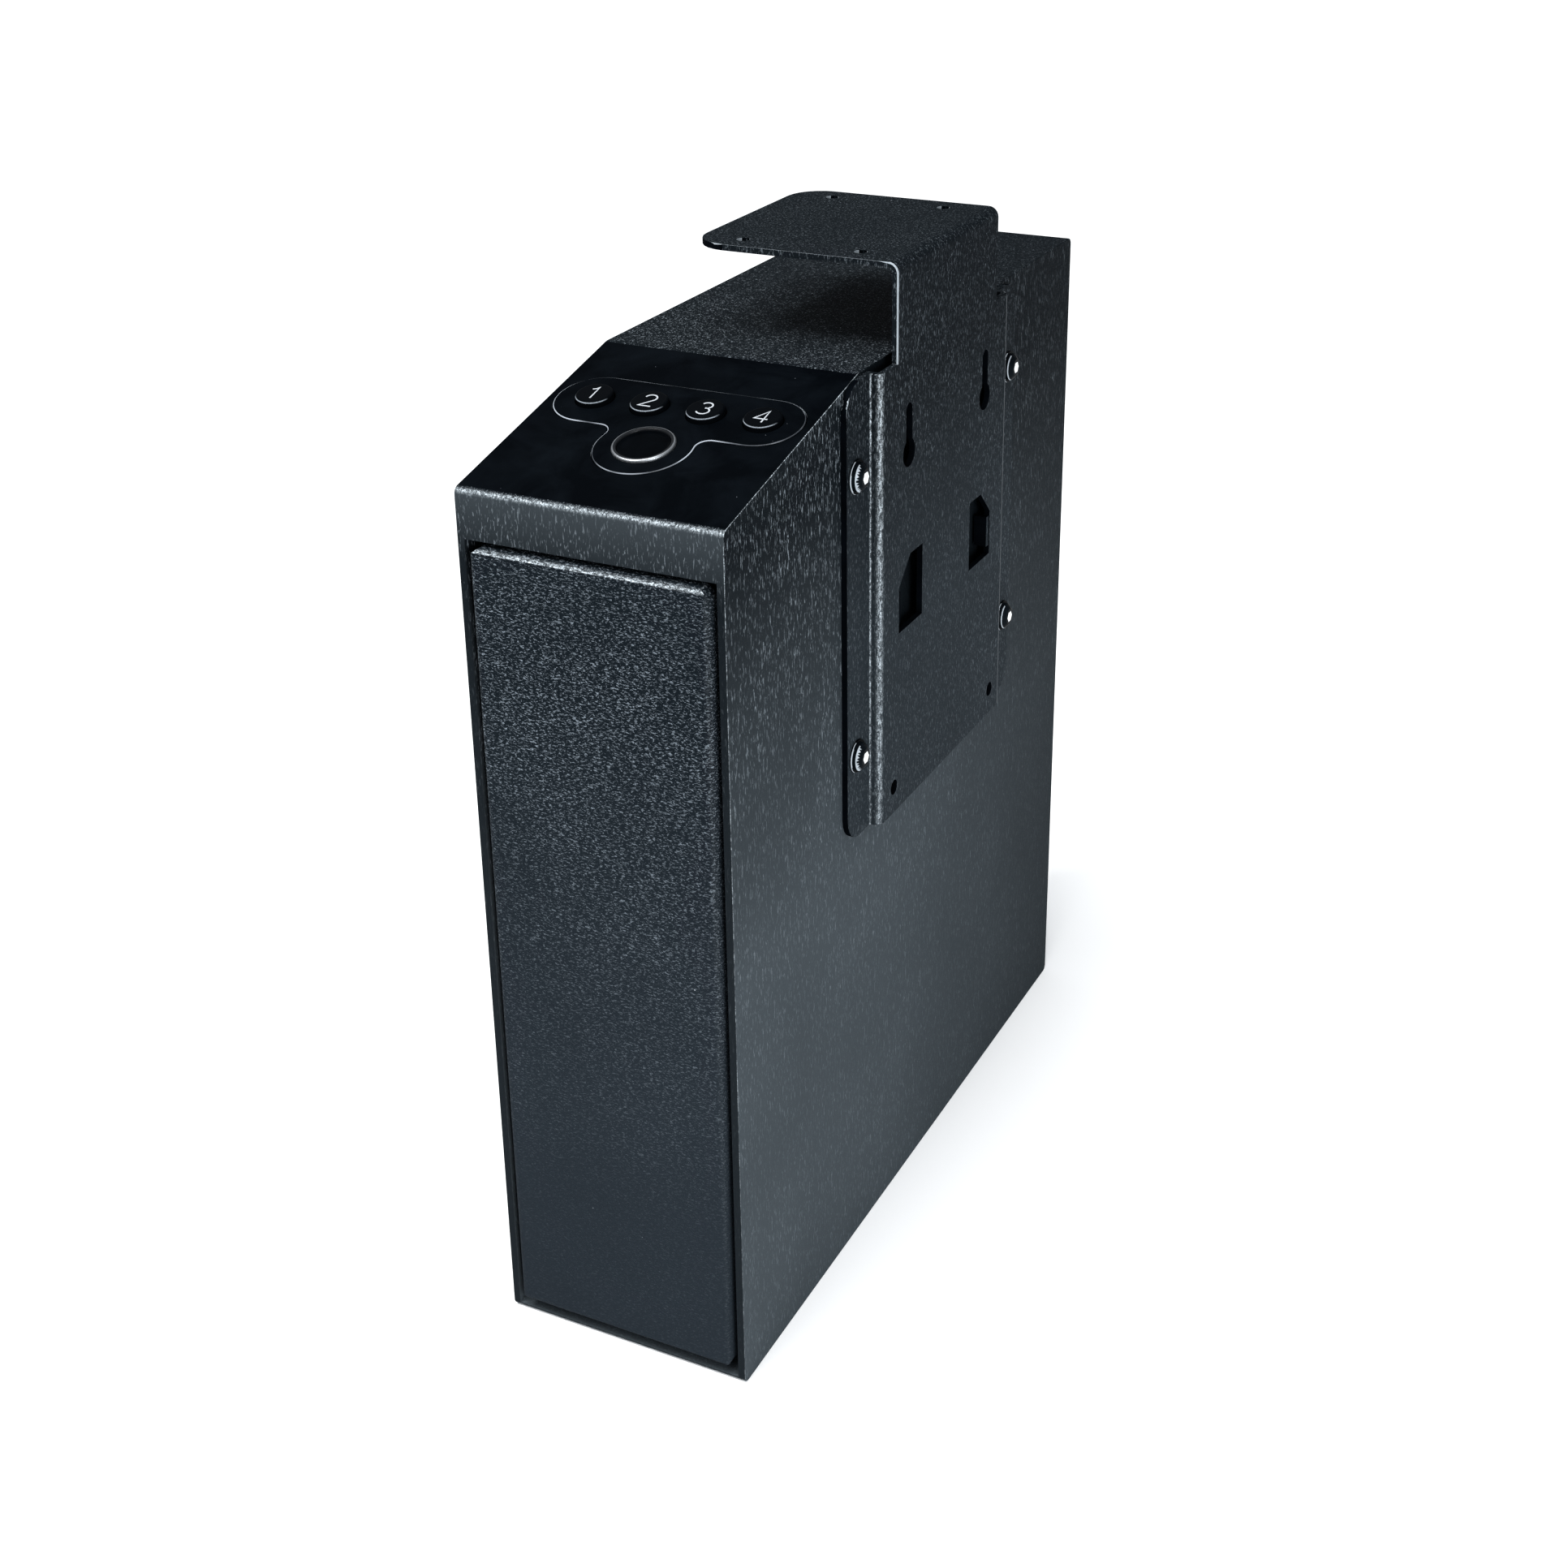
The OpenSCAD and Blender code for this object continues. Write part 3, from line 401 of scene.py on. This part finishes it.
def brushed(name, colour, rough, grain_axis, scratch=0.012):
    """Plated or brushed metal, with fine scratches along one axis and a mottled plating."""
    mat, tree, shader = new_material(name, colour, rough, metal=1.0)
    stretch = {"x": (0.05, 3, 3), "y": (3, 0.05, 3), "z": (3, 3, 0.05)}[grain_axis]
    lines = noise_at(tree, position(tree, stretch), 1.0, 4.0, 0.7)
    plain = position(tree)
    mottle = noise_at(tree, plain, 0.25, 4.0, 0.6, 0.5)
    darker = tuple(c * 0.72 for c in colour)
    mottled = mix_colour(tree, remap(tree, mottle, 0.3, 0.7), darker, colour)
    tree.links.new(mottled, shader.inputs["Base Color"])
    tree.links.new(remap(tree, lines, 0.3, 0.7, rough - 0.07, rough + 0.12), shader.inputs["Roughness"])
    bump(tree, shader, lines, scratch)
    return mat


def cap_plastic(name):
    """Key caps: glossy black, with a painted highlight, a light crescent along each cap's lower rim."""
    black, glinted = (0.001, 0.0014, 0.002), (0.22, 0.25, 0.28)
    mat, tree, shader = new_material(name, black, 0.3)
    shader.inputs["IOR"].default_value = 1.06
    fine = noise_at(tree, position(tree), 3.0)
    # Painted highlight: a light crescent on the lower rim.
    lower = remap(tree, facing(tree, -SLOPE_UP), 0.2, 0.5)
    below_top = remap(tree, facing(tree, SLOPE_OUT), 0.78, 0.68)
    above_wall = remap(tree, facing(tree, SLOPE_OUT), 0.4, 0.52)
    crescent = times(tree, lower, below_top, above_wall, remap(tree, fine, 0.3, 0.6, 0.5, 1.0))
    tree.links.new(mix_colour(tree, crescent, black, glinted), shader.inputs["Base Color"])
    tree.links.new(remap(tree, fine, 0.3, 0.7, 0.26, 0.36), shader.inputs["Roughness"])
    bump(tree, shader, fine, 0.006)
    return mat


def rim_finish(name):
    """The cut edge of the keypad plate, which catches the light in places."""
    mat, tree, shader = new_material(name, (0.02, 0.022, 0.026), 0.4)
    plain = position(tree)
    # Painted highlight: light patches where the edge catches the light.
    patches = remap(tree, noise_at(tree, plain, 0.06), 0.42, 0.6)
    glinted = mix_colour(tree, patches, (0.02, 0.024, 0.03), (0.3, 0.33, 0.37))
    tree.links.new(glinted, shader.inputs["Base Color"])
    bump(tree, shader, noise_at(tree, plain, 3.0), 0.01)
    return mat


def circuit_board(name):
    """Green solder mask with paler copper tracks under it."""
    mat, tree, shader = new_material(name, (0.01, 0.1, 0.045), 0.35)
    plain = position(tree)
    cells = add(tree, "TexVoronoi", Scale=0.35, feature="DISTANCE_TO_EDGE", distance="MANHATTAN")
    tree.links.new(plain, cells.inputs["Vector"])
    track = remap(tree, cells.outputs["Distance"], 0.08, 0.04)
    masked = mix_colour(tree, track, (0.008, 0.09, 0.04), (0.03, 0.2, 0.09))
    tree.links.new(masked, shader.inputs["Base Color"])
    bump(tree, shader, track, 0.03)
    return mat


def foam(name):
    """Open-cell foam: a pitted, light-swallowing surface."""
    mat, tree, shader = new_material(name, (0.03, 0.031, 0.034), 0.95, specular=0.1)
    plain = position(tree)
    cells = add(tree, "TexVoronoi", Scale=0.9)
    tree.links.new(plain, cells.inputs["Vector"])
    pits = remap(tree, cells.outputs["Distance"], 0.1, 0.7)
    coarse = noise_at(tree, plain, 0.15, 3.0, 0.6)
    pitted = mix_colour(tree, pits, (0.02, 0.021, 0.023), (0.055, 0.057, 0.062))
    tree.links.new(pitted, shader.inputs["Base Color"])
    shader.inputs["Sheen Weight"].default_value = 0.25
    bump(tree, shader, maths(tree, "ADD", pits, coarse), 0.35)
    return mat


# Mesh helpers ------------------------------------------------------------------------------------


def clean_copy(node):
    """The node's CAD mesh as a bmesh, welded, with coplanar triangles merged."""
    bm = bmesh.new()
    bm.from_mesh(NODES[node].data)
    bm.transform(NODES[node].matrix_world)
    bmesh.ops.remove_doubles(bm, verts=bm.verts, dist=0.002 * MM)
    bmesh.ops.dissolve_limit(bm, angle_limit=math.radians(1.0), verts=bm.verts, edges=bm.edges)
    return bm


def settled(piece):
    """Applies the piece's modifiers to its mesh."""
    depsgraph = bpy.context.evaluated_depsgraph_get()
    mesh = bpy.data.meshes.new_from_object(piece.evaluated_get(depsgraph), depsgraph=depsgraph)
    piece.modifiers.clear()
    piece.data = mesh
    return piece


def object_from(bm, name, material):
    """A smooth-shaded object whose large flat faces keep their flat shading."""
    smooth_angle = 32
    mesh = bpy.data.meshes.new(name)
    bm.normal_update()
    bm.to_mesh(mesh)
    bm.free()
    piece = bpy.data.objects.new(name, mesh)
    bpy.context.collection.objects.link(piece)
    mesh.materials.append(material)
    mesh.shade_smooth()
    mesh.set_sharp_from_angle(angle=math.radians(smooth_angle))
    weighted = piece.modifiers.new("weighted", "WEIGHTED_NORMAL")
    weighted.keep_sharp = True
    weighted.weight = 100
    return settled(piece)


def piece_from(bm, name, node, *slots):
    """Makes the mesh a piece that stands for a CAD node, rides on its body and has these materials."""
    piece = object_from(bm, name, slots[0])
    for material in slots[1:]:
        piece.data.materials.append(material)
    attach(piece, BODY_OF[node])
    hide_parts(node)
    return piece


def rounded_edges(bm, chosen, width, segments, clamp=True):
    """Rounds the chosen edges, taking width millimetres off each side."""
    edges = [e for e in bm.edges if e.is_manifold and chosen(e)]
    bmesh.ops.bevel(
        bm,
        geom=edges,
        offset=width * MM,
        offset_type="OFFSET",
        segments=segments,
        profile=0.5,
        affect="EDGES",
        clamp_overlap=clamp,
    )


def sharp(edge, degrees=35):
    return edge.is_manifold and edge.calc_face_angle(0) > math.radians(degrees)


def dress(materials):
    """Gives every CAD node that stays the material of its slot."""
    for node, obj in NODES.items():
        mat = materials[SLOT_OF[node]]
        for slot in obj.material_slots:
            slot.material = mat
        if not obj.material_slots:
            obj.data.materials.append(mat)


# Pieces -------------------------------------------------------------------------------------------


def make_housing(paint, slope_mat):
    """The folded shell, with its long bends rounded as a press brake leaves them."""
    bm = clean_copy("housing_shell")
    edge_x = SIDE_X - 0.01 * MM

    def long_bend(e):
        on_side = all(abs(v.co.x) > edge_x for v in e.verts)
        sides = sum(abs(f.normal.x) > 0.99 for f in e.link_faces)
        return on_side and sides == 1 and e.calc_face_angle(0) > math.radians(60)

    rounded_edges(bm, long_bend, 1.9, 6)
    piece = piece_from(bm, "housing_bent_shell", "housing_shell", paint, slope_mat)
    # Painted shade: the sloped face, the same powder coat as the rest, gets the near-black satin for the dark
    # surroundings it reflects.
    for face in piece.data.polygons:
        if face.normal.dot(SLOPE_OUT) > 0.9995:
            face.material_index = 1


def make_bracket(*slots):
    """The wall bracket, with the joggle's four folds and the neck's front edge rounded.

    slots are the paint, the painted shade of cut walls and openings, the painted highlight of glinting edges
    and the far fold's painted highlight grey.
    """
    bm = clean_copy("mounting_bracket")
    lo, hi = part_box("mounting_bracket")
    middle = (lo.y + hi.y) / 2
    sheet = 2 * MM
    flange_x = SIDE_X + sheet
    web_half = max(abs(v.co.y - middle) for v in bm.verts if v.co.x > hi.x - 0.05 * MM)
    neck_half = max(abs(v.co.y - middle) for v in bm.verts if v.co.z > ROOF_Z + 5 * MM)
    neck_low = ROOF_Z - 18 * MM
    corner_low = ROOF_Z - 22 * MM

    def near(value, target, within=0.06 * MM):
        return abs(value - target) < within

    def joggle(e, where, out_at):
        a, b = (v.co for v in e.verts)
        upright = near(a.x, b.x, 0.01 * MM) and near(a.y, b.y, 0.01 * MM) and abs(a.z - b.z) > 20 * MM
        return upright and near(a.x, where) and near(abs(a.y - middle), out_at)

    def shoulder(e):
        a, b = (v.co for v in e.verts)
        across = abs(a.x - b.x) > 1.5 * MM and near(a.y, b.y, 0.01 * MM) and near(a.z, b.z, 0.01 * MM)
        return across and a.z > neck_low and near(abs(a.y - middle), neck_half, 1.5 * MM)

    def neck_front(e):
        ahead = all(v.co.z > corner_low and v.co.y < middle - neck_half + 0.5 * MM for v in e.verts)
        outer = any(max(f.normal.x, f.normal.z) > 0.3 for f in e.link_faces)
        return ahead and sharp(e, 50) and outer and any(f.normal.y < -0.9 for f in e.link_faces)

    rounded_edges(bm, lambda e: joggle(e, hi.x, web_half), 2.6, 7)
    rounded_edges(bm, lambda e: joggle(e, flange_x, web_half), 0.8, 4)
    rounded_edges(bm, lambda e: joggle(e, hi.x - sheet, web_half - sheet), 0.6, 3)
    rounded_edges(bm, shoulder, 2.5, 4)
    rounded_edges(bm, neck_front, 0.45, 2, clamp=False)
    piece = piece_from(bm, "wall_bracket", "mounting_bracket", *slots)
    for face in piece.data.polygons:
        face.material_index = bracket_finish(face, lo, hi, web_half, neck_half)


def bracket_finish(face, lo, hi, web_half, neck_half):
    """Which of the bracket's four materials a face has."""
    paint, cut, glint, far_fold = range(4)
    n = face.normal
    x, z = face.center.x, face.center.z
    dy = (lo.y + hi.y) / 2 - face.center.y
    below_roof = z < ROOF_Z
    on_plate = z > ROOF_Z + 5 * MM
    plate_wall = on_plate and abs(n.z) < 0.1 and min(abs(n.x), abs(n.y)) > 0.05
    # Painted highlight: a light grey on the far joggle's fold.
    if below_roof and dy < 3 * MM - web_half and n.x > 0.8 and 0.05 < abs(n.y) < 0.6:
        return far_fold
    # Painted highlights: glints on the side walls of the plate's holes and a light line along the neck's
    # front edge.
    in_desk_hole = abs(dy) < 38 * MM and lo.x + 4 * MM < x < hi.x - 6 * MM
    if plate_wall and abs(n.x) > 0.6 and in_desk_hole:
        return glint
    by_front_edge = z > ROOF_Z - 18 * MM and -2 * MM < dy - neck_half < 2.5 * MM
    if by_front_edge and n.y < -0.2 and max(n.x, n.z) > 0.2:
        return glint
    # Painted shade: curved walls, plate walls, the flange's front rim, the tongue and the web's openings get
    # the near-black.
    curved_wall = below_roof and abs(n.x) < 0.1 and min(abs(n.y), abs(n.z)) > 0.05
    front_rim = below_roof and n.y < -0.9 and x < SIDE_X + 2 * MM and dy > 60 * MM
    tongue = 0.228 < z < 0.24 and 36 * MM < dy < 40 * MM and x < hi.x - 0.1 * MM
    opening = below_roof and z > lo.z + 3 * MM and abs(n.x) < 0.1 and abs(dy) < web_half - 3 * MM
    return cut if curved_wall or plate_wall or front_rim or tongue or opening else paint


def make_door(paint):
    bm = clean_copy("door_panel")
    rounded_edges(bm, lambda e: sharp(e, 50), 0.2, 2)
    piece_from(bm, "door_skin", "door_panel", paint)


# How far each part's sharp edges are broken, in millimetres
BEVELS = {
    "rear_panel": 0.25, "rear_rivets": 0.35, "bracket_screws": 0.16, "bracket_washers": 0.3,
    "keypad_plate": 0.26, "key_1": 0.3, "key_2": 0.3, "key_3": 0.3, "key_4": 0.3,
    "electronics_tray": 0.2, "drawer_tray": 0.25, "battery_box": 0.4, "battery_cover": 0.4,
    "solenoid_frame": 0.25, "lock_body": 0.35, "lock_nut": 0.4, "lock_plug": 0.2, "lock_cam": 0.3,
    "latch_bolt": 0.35, "striker_plate": 0.25, "striker_screws": 0.3, "hinge_bracket": 0.25,
    "hinge_clips": 0.15, "hinge_rivets": 0.3, "strut_stud": 0.3, "strut_cylinder": 0.5,
    "strut_anchor": 0.3, "door_nuts": 0.3, "tray_screws": 0.3, "board_chips": 0.2, "buzzer": 0.5,
}


def make_refined(materials, outline_mat, rim_mat):
    """The same parts as the frame's, with their sharp edges broken as tooling leaves them."""
    second = {"keypad_plate": outline_mat, "bracket_screws": rim_mat, "bracket_washers": rim_mat}
    for node, width in BEVELS.items():
        bm = clean_copy(node)
        rounded_edges(bm, lambda e: sharp(e, 40), width, 2)
        slots = [materials[SLOT_OF[node]]]
        if node in second:
            slots.append(second[node])
        piece = piece_from(bm, node + "_detailed", node, *slots)
        if node in ("bracket_screws", "bracket_washers"):
            light_rims(piece, node)
        if node == "keypad_plate":
            light_outline(piece)


def screw_rows(node):
    """The y and z values one screw head's radius inside the node's box."""
    head = 4.75 * MM
    lo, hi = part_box(node)
    return (lo.y + head, hi.y - head), (lo.z + head, hi.z - head)


def light_rims(piece, node):
    """Gives the second material, a painted highlight crescent, to the front of each rim, where it is 4.3 mm
    or more off its centre.
    """
    across, up = screw_rows(node)
    for face in piece.data.polygons:
        at, n = face.center, face.normal
        out_y = min(abs(at.y - c) for c in across)
        out_z = min(abs(at.z - c) for c in up)
        if math.hypot(out_y, out_z) > 4.3 * MM and 0.25 < n.x < 0.95 and n.y < -0.25:
            face.material_index = 1


def light_outline(plate):
    """Gives the second material, the painted highlight, to the keypad plate's bevels, except round the caps.
    """
    caps = [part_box(f"key_{k}") for k in (1, 2, 3, 4)]
    cap_lo, cap_hi = caps[0]
    reach = (cap_hi.x - cap_lo.x) / 2 + 1.5 * MM
    for face in plate.data.polygons:
        x, y = face.center.x, face.center.y
        by_cap = any(max(abs(x - (a.x + b.x) / 2), abs(y - (a.y + b.y) / 2)) < reach for a, b in caps)
        if 0.15 < face.normal.dot(SLOPE_OUT) < 0.97 and not by_cap:
            face.material_index = 1


def make_ring(metal, bore_mat):
    """The sensor's ring: bright on its outer lip and black inside it."""
    lip = 0.66 * MM
    piece = piece_from(clean_copy("sensor_ring"), "sensor_bezel", "sensor_ring", metal, bore_mat)
    points = [v.co for v in piece.data.vertices]
    centre = sum(points, Vector()) / len(points)

    def from_axis(point):
        away = point - centre
        return (away - SLOPE_OUT * away.dot(SLOPE_OUT)).length

    reach = max(from_axis(p) for p in points)
    for face in piece.data.polygons:
        if from_axis(face.center) < reach - lip:
            face.material_index = 1


def make_screw_sockets(mat):
    """The bright hexagons in the heads of the bracket's four screws: painted highlight, a bright insert
    standing for the light reflected inside each socket.
    """
    depth = 1.3 * MM
    sunk = 0.6 * MM
    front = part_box("bracket_screws")[1].x
    across, up = screw_rows("bracket_screws")
    bm = bmesh.new()
    for y in across:
        for z in up:
            place = Matrix.Translation((front - sunk, y, z)) @ Matrix.Rotation(math.pi / 2, 4, "Y")
            bmesh.ops.create_cone(
                bm, cap_ends=True, segments=6, radius1=2.15 * MM, radius2=2.05 * MM, depth=depth, matrix=place
            )
    piece = object_from(bm, "screw_sockets", mat)
    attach(piece, BODY_OF["bracket_screws"])


def arc_points(cx, cy, rx, ry, start, end):
    """Points along an elliptical arc between two angles in degrees."""
    steps = 14
    span = [math.radians(start + (end - start) * k / steps) for k in range(steps + 1)]
    return [(cx + rx * math.cos(t), cy + ry * math.sin(t)) for t in span]


# Centre lines of the numerals, in millimetres about the middle of a cap
NUMERALS = {
    "key_1": [[(-1.25, 1.55), (-0.3, 2.0), (0.25, 2.75), (0.25, -2.75)]],
    "key_2": [arc_points(0, 1.25, 1.65, 1.5, 170, -38) + [(-1.75, -2.75), (1.8, -2.75)]],
    "key_3": [arc_points(-0.05, 1.4, 1.5, 1.35, 155, -90), arc_points(-0.05, -1.25, 1.75, 1.5, 90, -155)],
    "key_4": [[(0.85, -2.75), (0.85, 2.75), (-1.85, -1.15), (1.9, -1.15)]],
}


def make_numerals(mat):
    """Pad-printed numerals: thin flat strokes lying on the caps."""
    scale, half_width, height = 1.18, 0.25, 0.06
    right = Vector(X_AXIS)
    for node, strokes in NUMERALS.items():
        corners = [v.co for v in NODES[node].data.vertices]
        top = max(c.dot(SLOPE_OUT) for c in corners)
        rim = [c for c in corners if c.dot(SLOPE_OUT) > top - 0.02 * MM]
        centre = sum(rim, Vector()) / len(rim)
        centre += SLOPE_OUT * (top - centre.dot(SLOPE_OUT))
        bm = bmesh.new()
        for stroke in strokes:
            points = [(x * scale, y * scale) for x, y in stroke]
            add_ribbon(bm, points, half_width, height, centre, right, SLOPE_UP)
        piece = object_from(bm, "numeral_" + node[-1], mat)
        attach(piece, BODY_OF[node])


def add_ribbon(bm, points, half, height, centre, right, up):
    """A flat closed bar of the given half width that follows points, standing height above the cap."""
    count = len(points)
    rows = []
    for i, (x, y) in enumerate(points):
        before = Vector(points[max(i - 1, 0)])
        after = Vector(points[min(i + 1, count - 1)])
        here = Vector((x, y))
        ahead = (after - here).normalized() if i < count - 1 else (here - before).normalized()
        behind = (here - before).normalized() if i > 0 else ahead
        way = (ahead + behind).normalized()
        side = Vector((-way.y, way.x))
        reach = min(half / max(side.dot(Vector((-ahead.y, ahead.x))), 0.35), half * 1.9)
        row = []
        for sign, lift in ((1, -0.05), (1, height), (-1, height), (-1, -0.05)):
            flat = here + side * (reach * sign)
            row.append(bm.verts.new(centre + (right * flat.x + up * flat.y + SLOPE_OUT * lift) * MM))
        rows.append(row)
    for a, b in zip(rows, rows[1:]):
        for k in range(4):
            bm.faces.new((a[k], a[(k + 1) % 4], b[(k + 1) % 4], b[k]))
    bm.faces.new(rows[0][::-1])
    bm.faces.new(rows[-1])


def make_foam(mat):
    """Soft liners: each is remeshed, its edges slumped and its faces left slightly uneven."""
    for node in ("left_liner", "right_liner", "base_liner"):
        bm = clean_copy(node)
        rounded_edges(bm, lambda e: sharp(e, 50), 0.9, 2)
        piece = object_from(bm, node + "_foam", mat)
        remesh = piece.modifiers.new("remesh", "REMESH")
        remesh.mode = "VOXEL"
        remesh.voxel_size = 1.1 * MM
        smooth = piece.modifiers.new("smooth", "SMOOTH")
        smooth.factor = 0.5
        smooth.iterations = 4
        settled(piece)
        skin = [(v.co.copy(), v.normal.copy()) for v in piece.data.vertices]
        for v, (place, outward) in zip(piece.data.vertices, skin):
            lump = noise.noise(place * 90) * 0.28 + noise.noise(place * 380) * 0.1
            v.co = place + outward * ((lump - 0.3) * MM)
        piece.data.shade_smooth()
        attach(piece, BODY_OF[node])
        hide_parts(node)


def web_shade():
    """The edges of the patch of the housing's side that lies behind the bracket's web."""
    lo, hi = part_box("mounting_bracket")
    inner = 12 * MM
    return (
        (lo.y + inner, lo.y + inner + 4 * MM),
        (hi.y - inner, hi.y - inner - 4 * MM),
        (lo.z + 4 * MM, lo.z + 8 * MM),
    )


def make_paints():
    """Each slot's powder coat."""
    black = (0.0045, 0.0062, 0.0078)
    housing = powder_coat(
        "housing_powder_coat", black, (0.19, 0.22, 0.245), (1.7, 1.7, 0.36), (0.58, 0.69), 0.45, 0.16,
        bends=((-0.2, 0.5), 0.4, 0.95),
        fade=(0.08, 0.28, 0.35),
        haze=((0.044, 0.053, 0.06), 0.29, 0.15),
        deep=(0.14, -0.03),
        shade=web_shade(),
    )
    door = powder_coat(
        "door_powder_coat", (0.0045, 0.0066, 0.0088), (0.2, 0.235, 0.27), (0.9, 1.4, 2.3), (0.54, 0.7),
        0.42, 0.2,
        bends=((0.1, 0.6), 0.06, 0.95),
        fade=(0.06, 0.25, 0.08),
        haze=((0.0125, 0.0165, 0.021), 0.24, 0.1),
    )
    bracket = powder_coat(
        "bracket_powder_coat", black, (0.085, 0.1, 0.113), (1.7, 1.7, 0.55), (0.56, 0.69), 0.45, 0.16,
        bends=((-0.2, 0.5), 0.8, 0.85),
        haze=((0.016, 0.0205, 0.0245), 0.31, 0.23),
    )
    inner = powder_coat(
        "inner_paint", (0.008, 0.0095, 0.011), (0.03, 0.034, 0.038), (1.5, 1.5, 1.5), (0.48, 0.68), 0.5, 0.06,
        fleck_share=0.01,
        ior=1.08,
    )
    return {"housing_paint": housing, "door_paint": door, "bracket_paint": bracket, "inner_paint": inner}


def make_materials():
    """One material for each of the frame's slots."""
    return {
        **make_paints(),
        "keypad_plastic": slope_finish("keypad_satin"),
        "key_plastic": cap_plastic("key_plastic"),
        "ring_metal": brushed("ring_metal", (0.4, 0.42, 0.44), 0.38, "z", 0.004),
        "lens_black": moulded("lens_black", (0.0004, 0.0006, 0.0009), 0.12, 1.0, 0.001, 1.05),
        "black_plastic": moulded("black_plastic", (0.014, 0.014, 0.016), 0.5),
        "screw_black": moulded("black_oxide", (0.002, 0.003, 0.004), 0.3, 4.0, 0.01, 1.06),
        "washer_black": moulded("washer_black", (0.001, 0.0015, 0.002), 0.45, ior=1.05),
        "zinc_steel": brushed("zinc_steel", (0.15, 0.155, 0.16), 0.55, "y"),
        "polished_steel": brushed("polished_steel", (0.3, 0.31, 0.32), 0.28, "x", 0.004),
        "brass": brushed("brass", (0.72, 0.5, 0.2), 0.3, "z"),
        "board_green": circuit_board("board_green"),
        "chip_black": moulded("chip_black", (0.01, 0.01, 0.011), 0.55, 9.0),
        "battery_wrap": brushed("battery_wrap", (0.55, 0.36, 0.08), 0.25, "y", 0.002),
        "coil_tape": moulded("coil_tape", (0.25, 0.08, 0.015), 0.4, 3.0, 0.03),
        "ivory_nylon": moulded("ivory_nylon", (0.62, 0.58, 0.46), 0.5),
        "rubber": moulded("rubber", (0.008, 0.008, 0.009), 0.75, 4.0, 0.03, 1.3),
        "foam": foam("foam"),
        "strut_paint": moulded("strut_enamel", (0.006, 0.006, 0.007), 0.15, 1.0, 0.004, 1.45),
    }


make_camera()
make_sky()
make_light()
make_floor()
materials = make_materials()
dress(materials)
make_housing(materials["housing_paint"], slope_finish("slope_shaded_satin"))
make_bracket(
    materials["bracket_paint"],
    moulded("bracket_cut_shade", (0.0008, 0.0012, 0.0018), 0.6, 3.0, 0.03, 1.02),
    moulded("bracket_glint_edge", (0.2, 0.225, 0.245), 0.45, 3.0, 0.03, 1.2),
    moulded("bracket_far_fold", (0.055, 0.063, 0.07), 0.5, 3.0, 0.03, 1.1),
)
make_door(materials["door_paint"])
make_refined(
    materials,
    rim_finish("keypad_rim"),
    moulded("screw_rim", (0.3, 0.33, 0.36), 0.4, 4.0, 0.01, 1.1),
)
make_ring(materials["ring_metal"], moulded("ring_bore", (0.004, 0.0045, 0.0055), 0.3, 4.0, 0.006, 1.2))
make_screw_sockets(moulded("socket_highlight", (0.75, 0.78, 0.8), 0.4, 5.0, 0.01, 1.5))
make_numerals(moulded("numeral_ink", (0.3, 0.32, 0.34), 0.45, 8.0, 0.004, 1.3))
make_foam(materials["foam"])
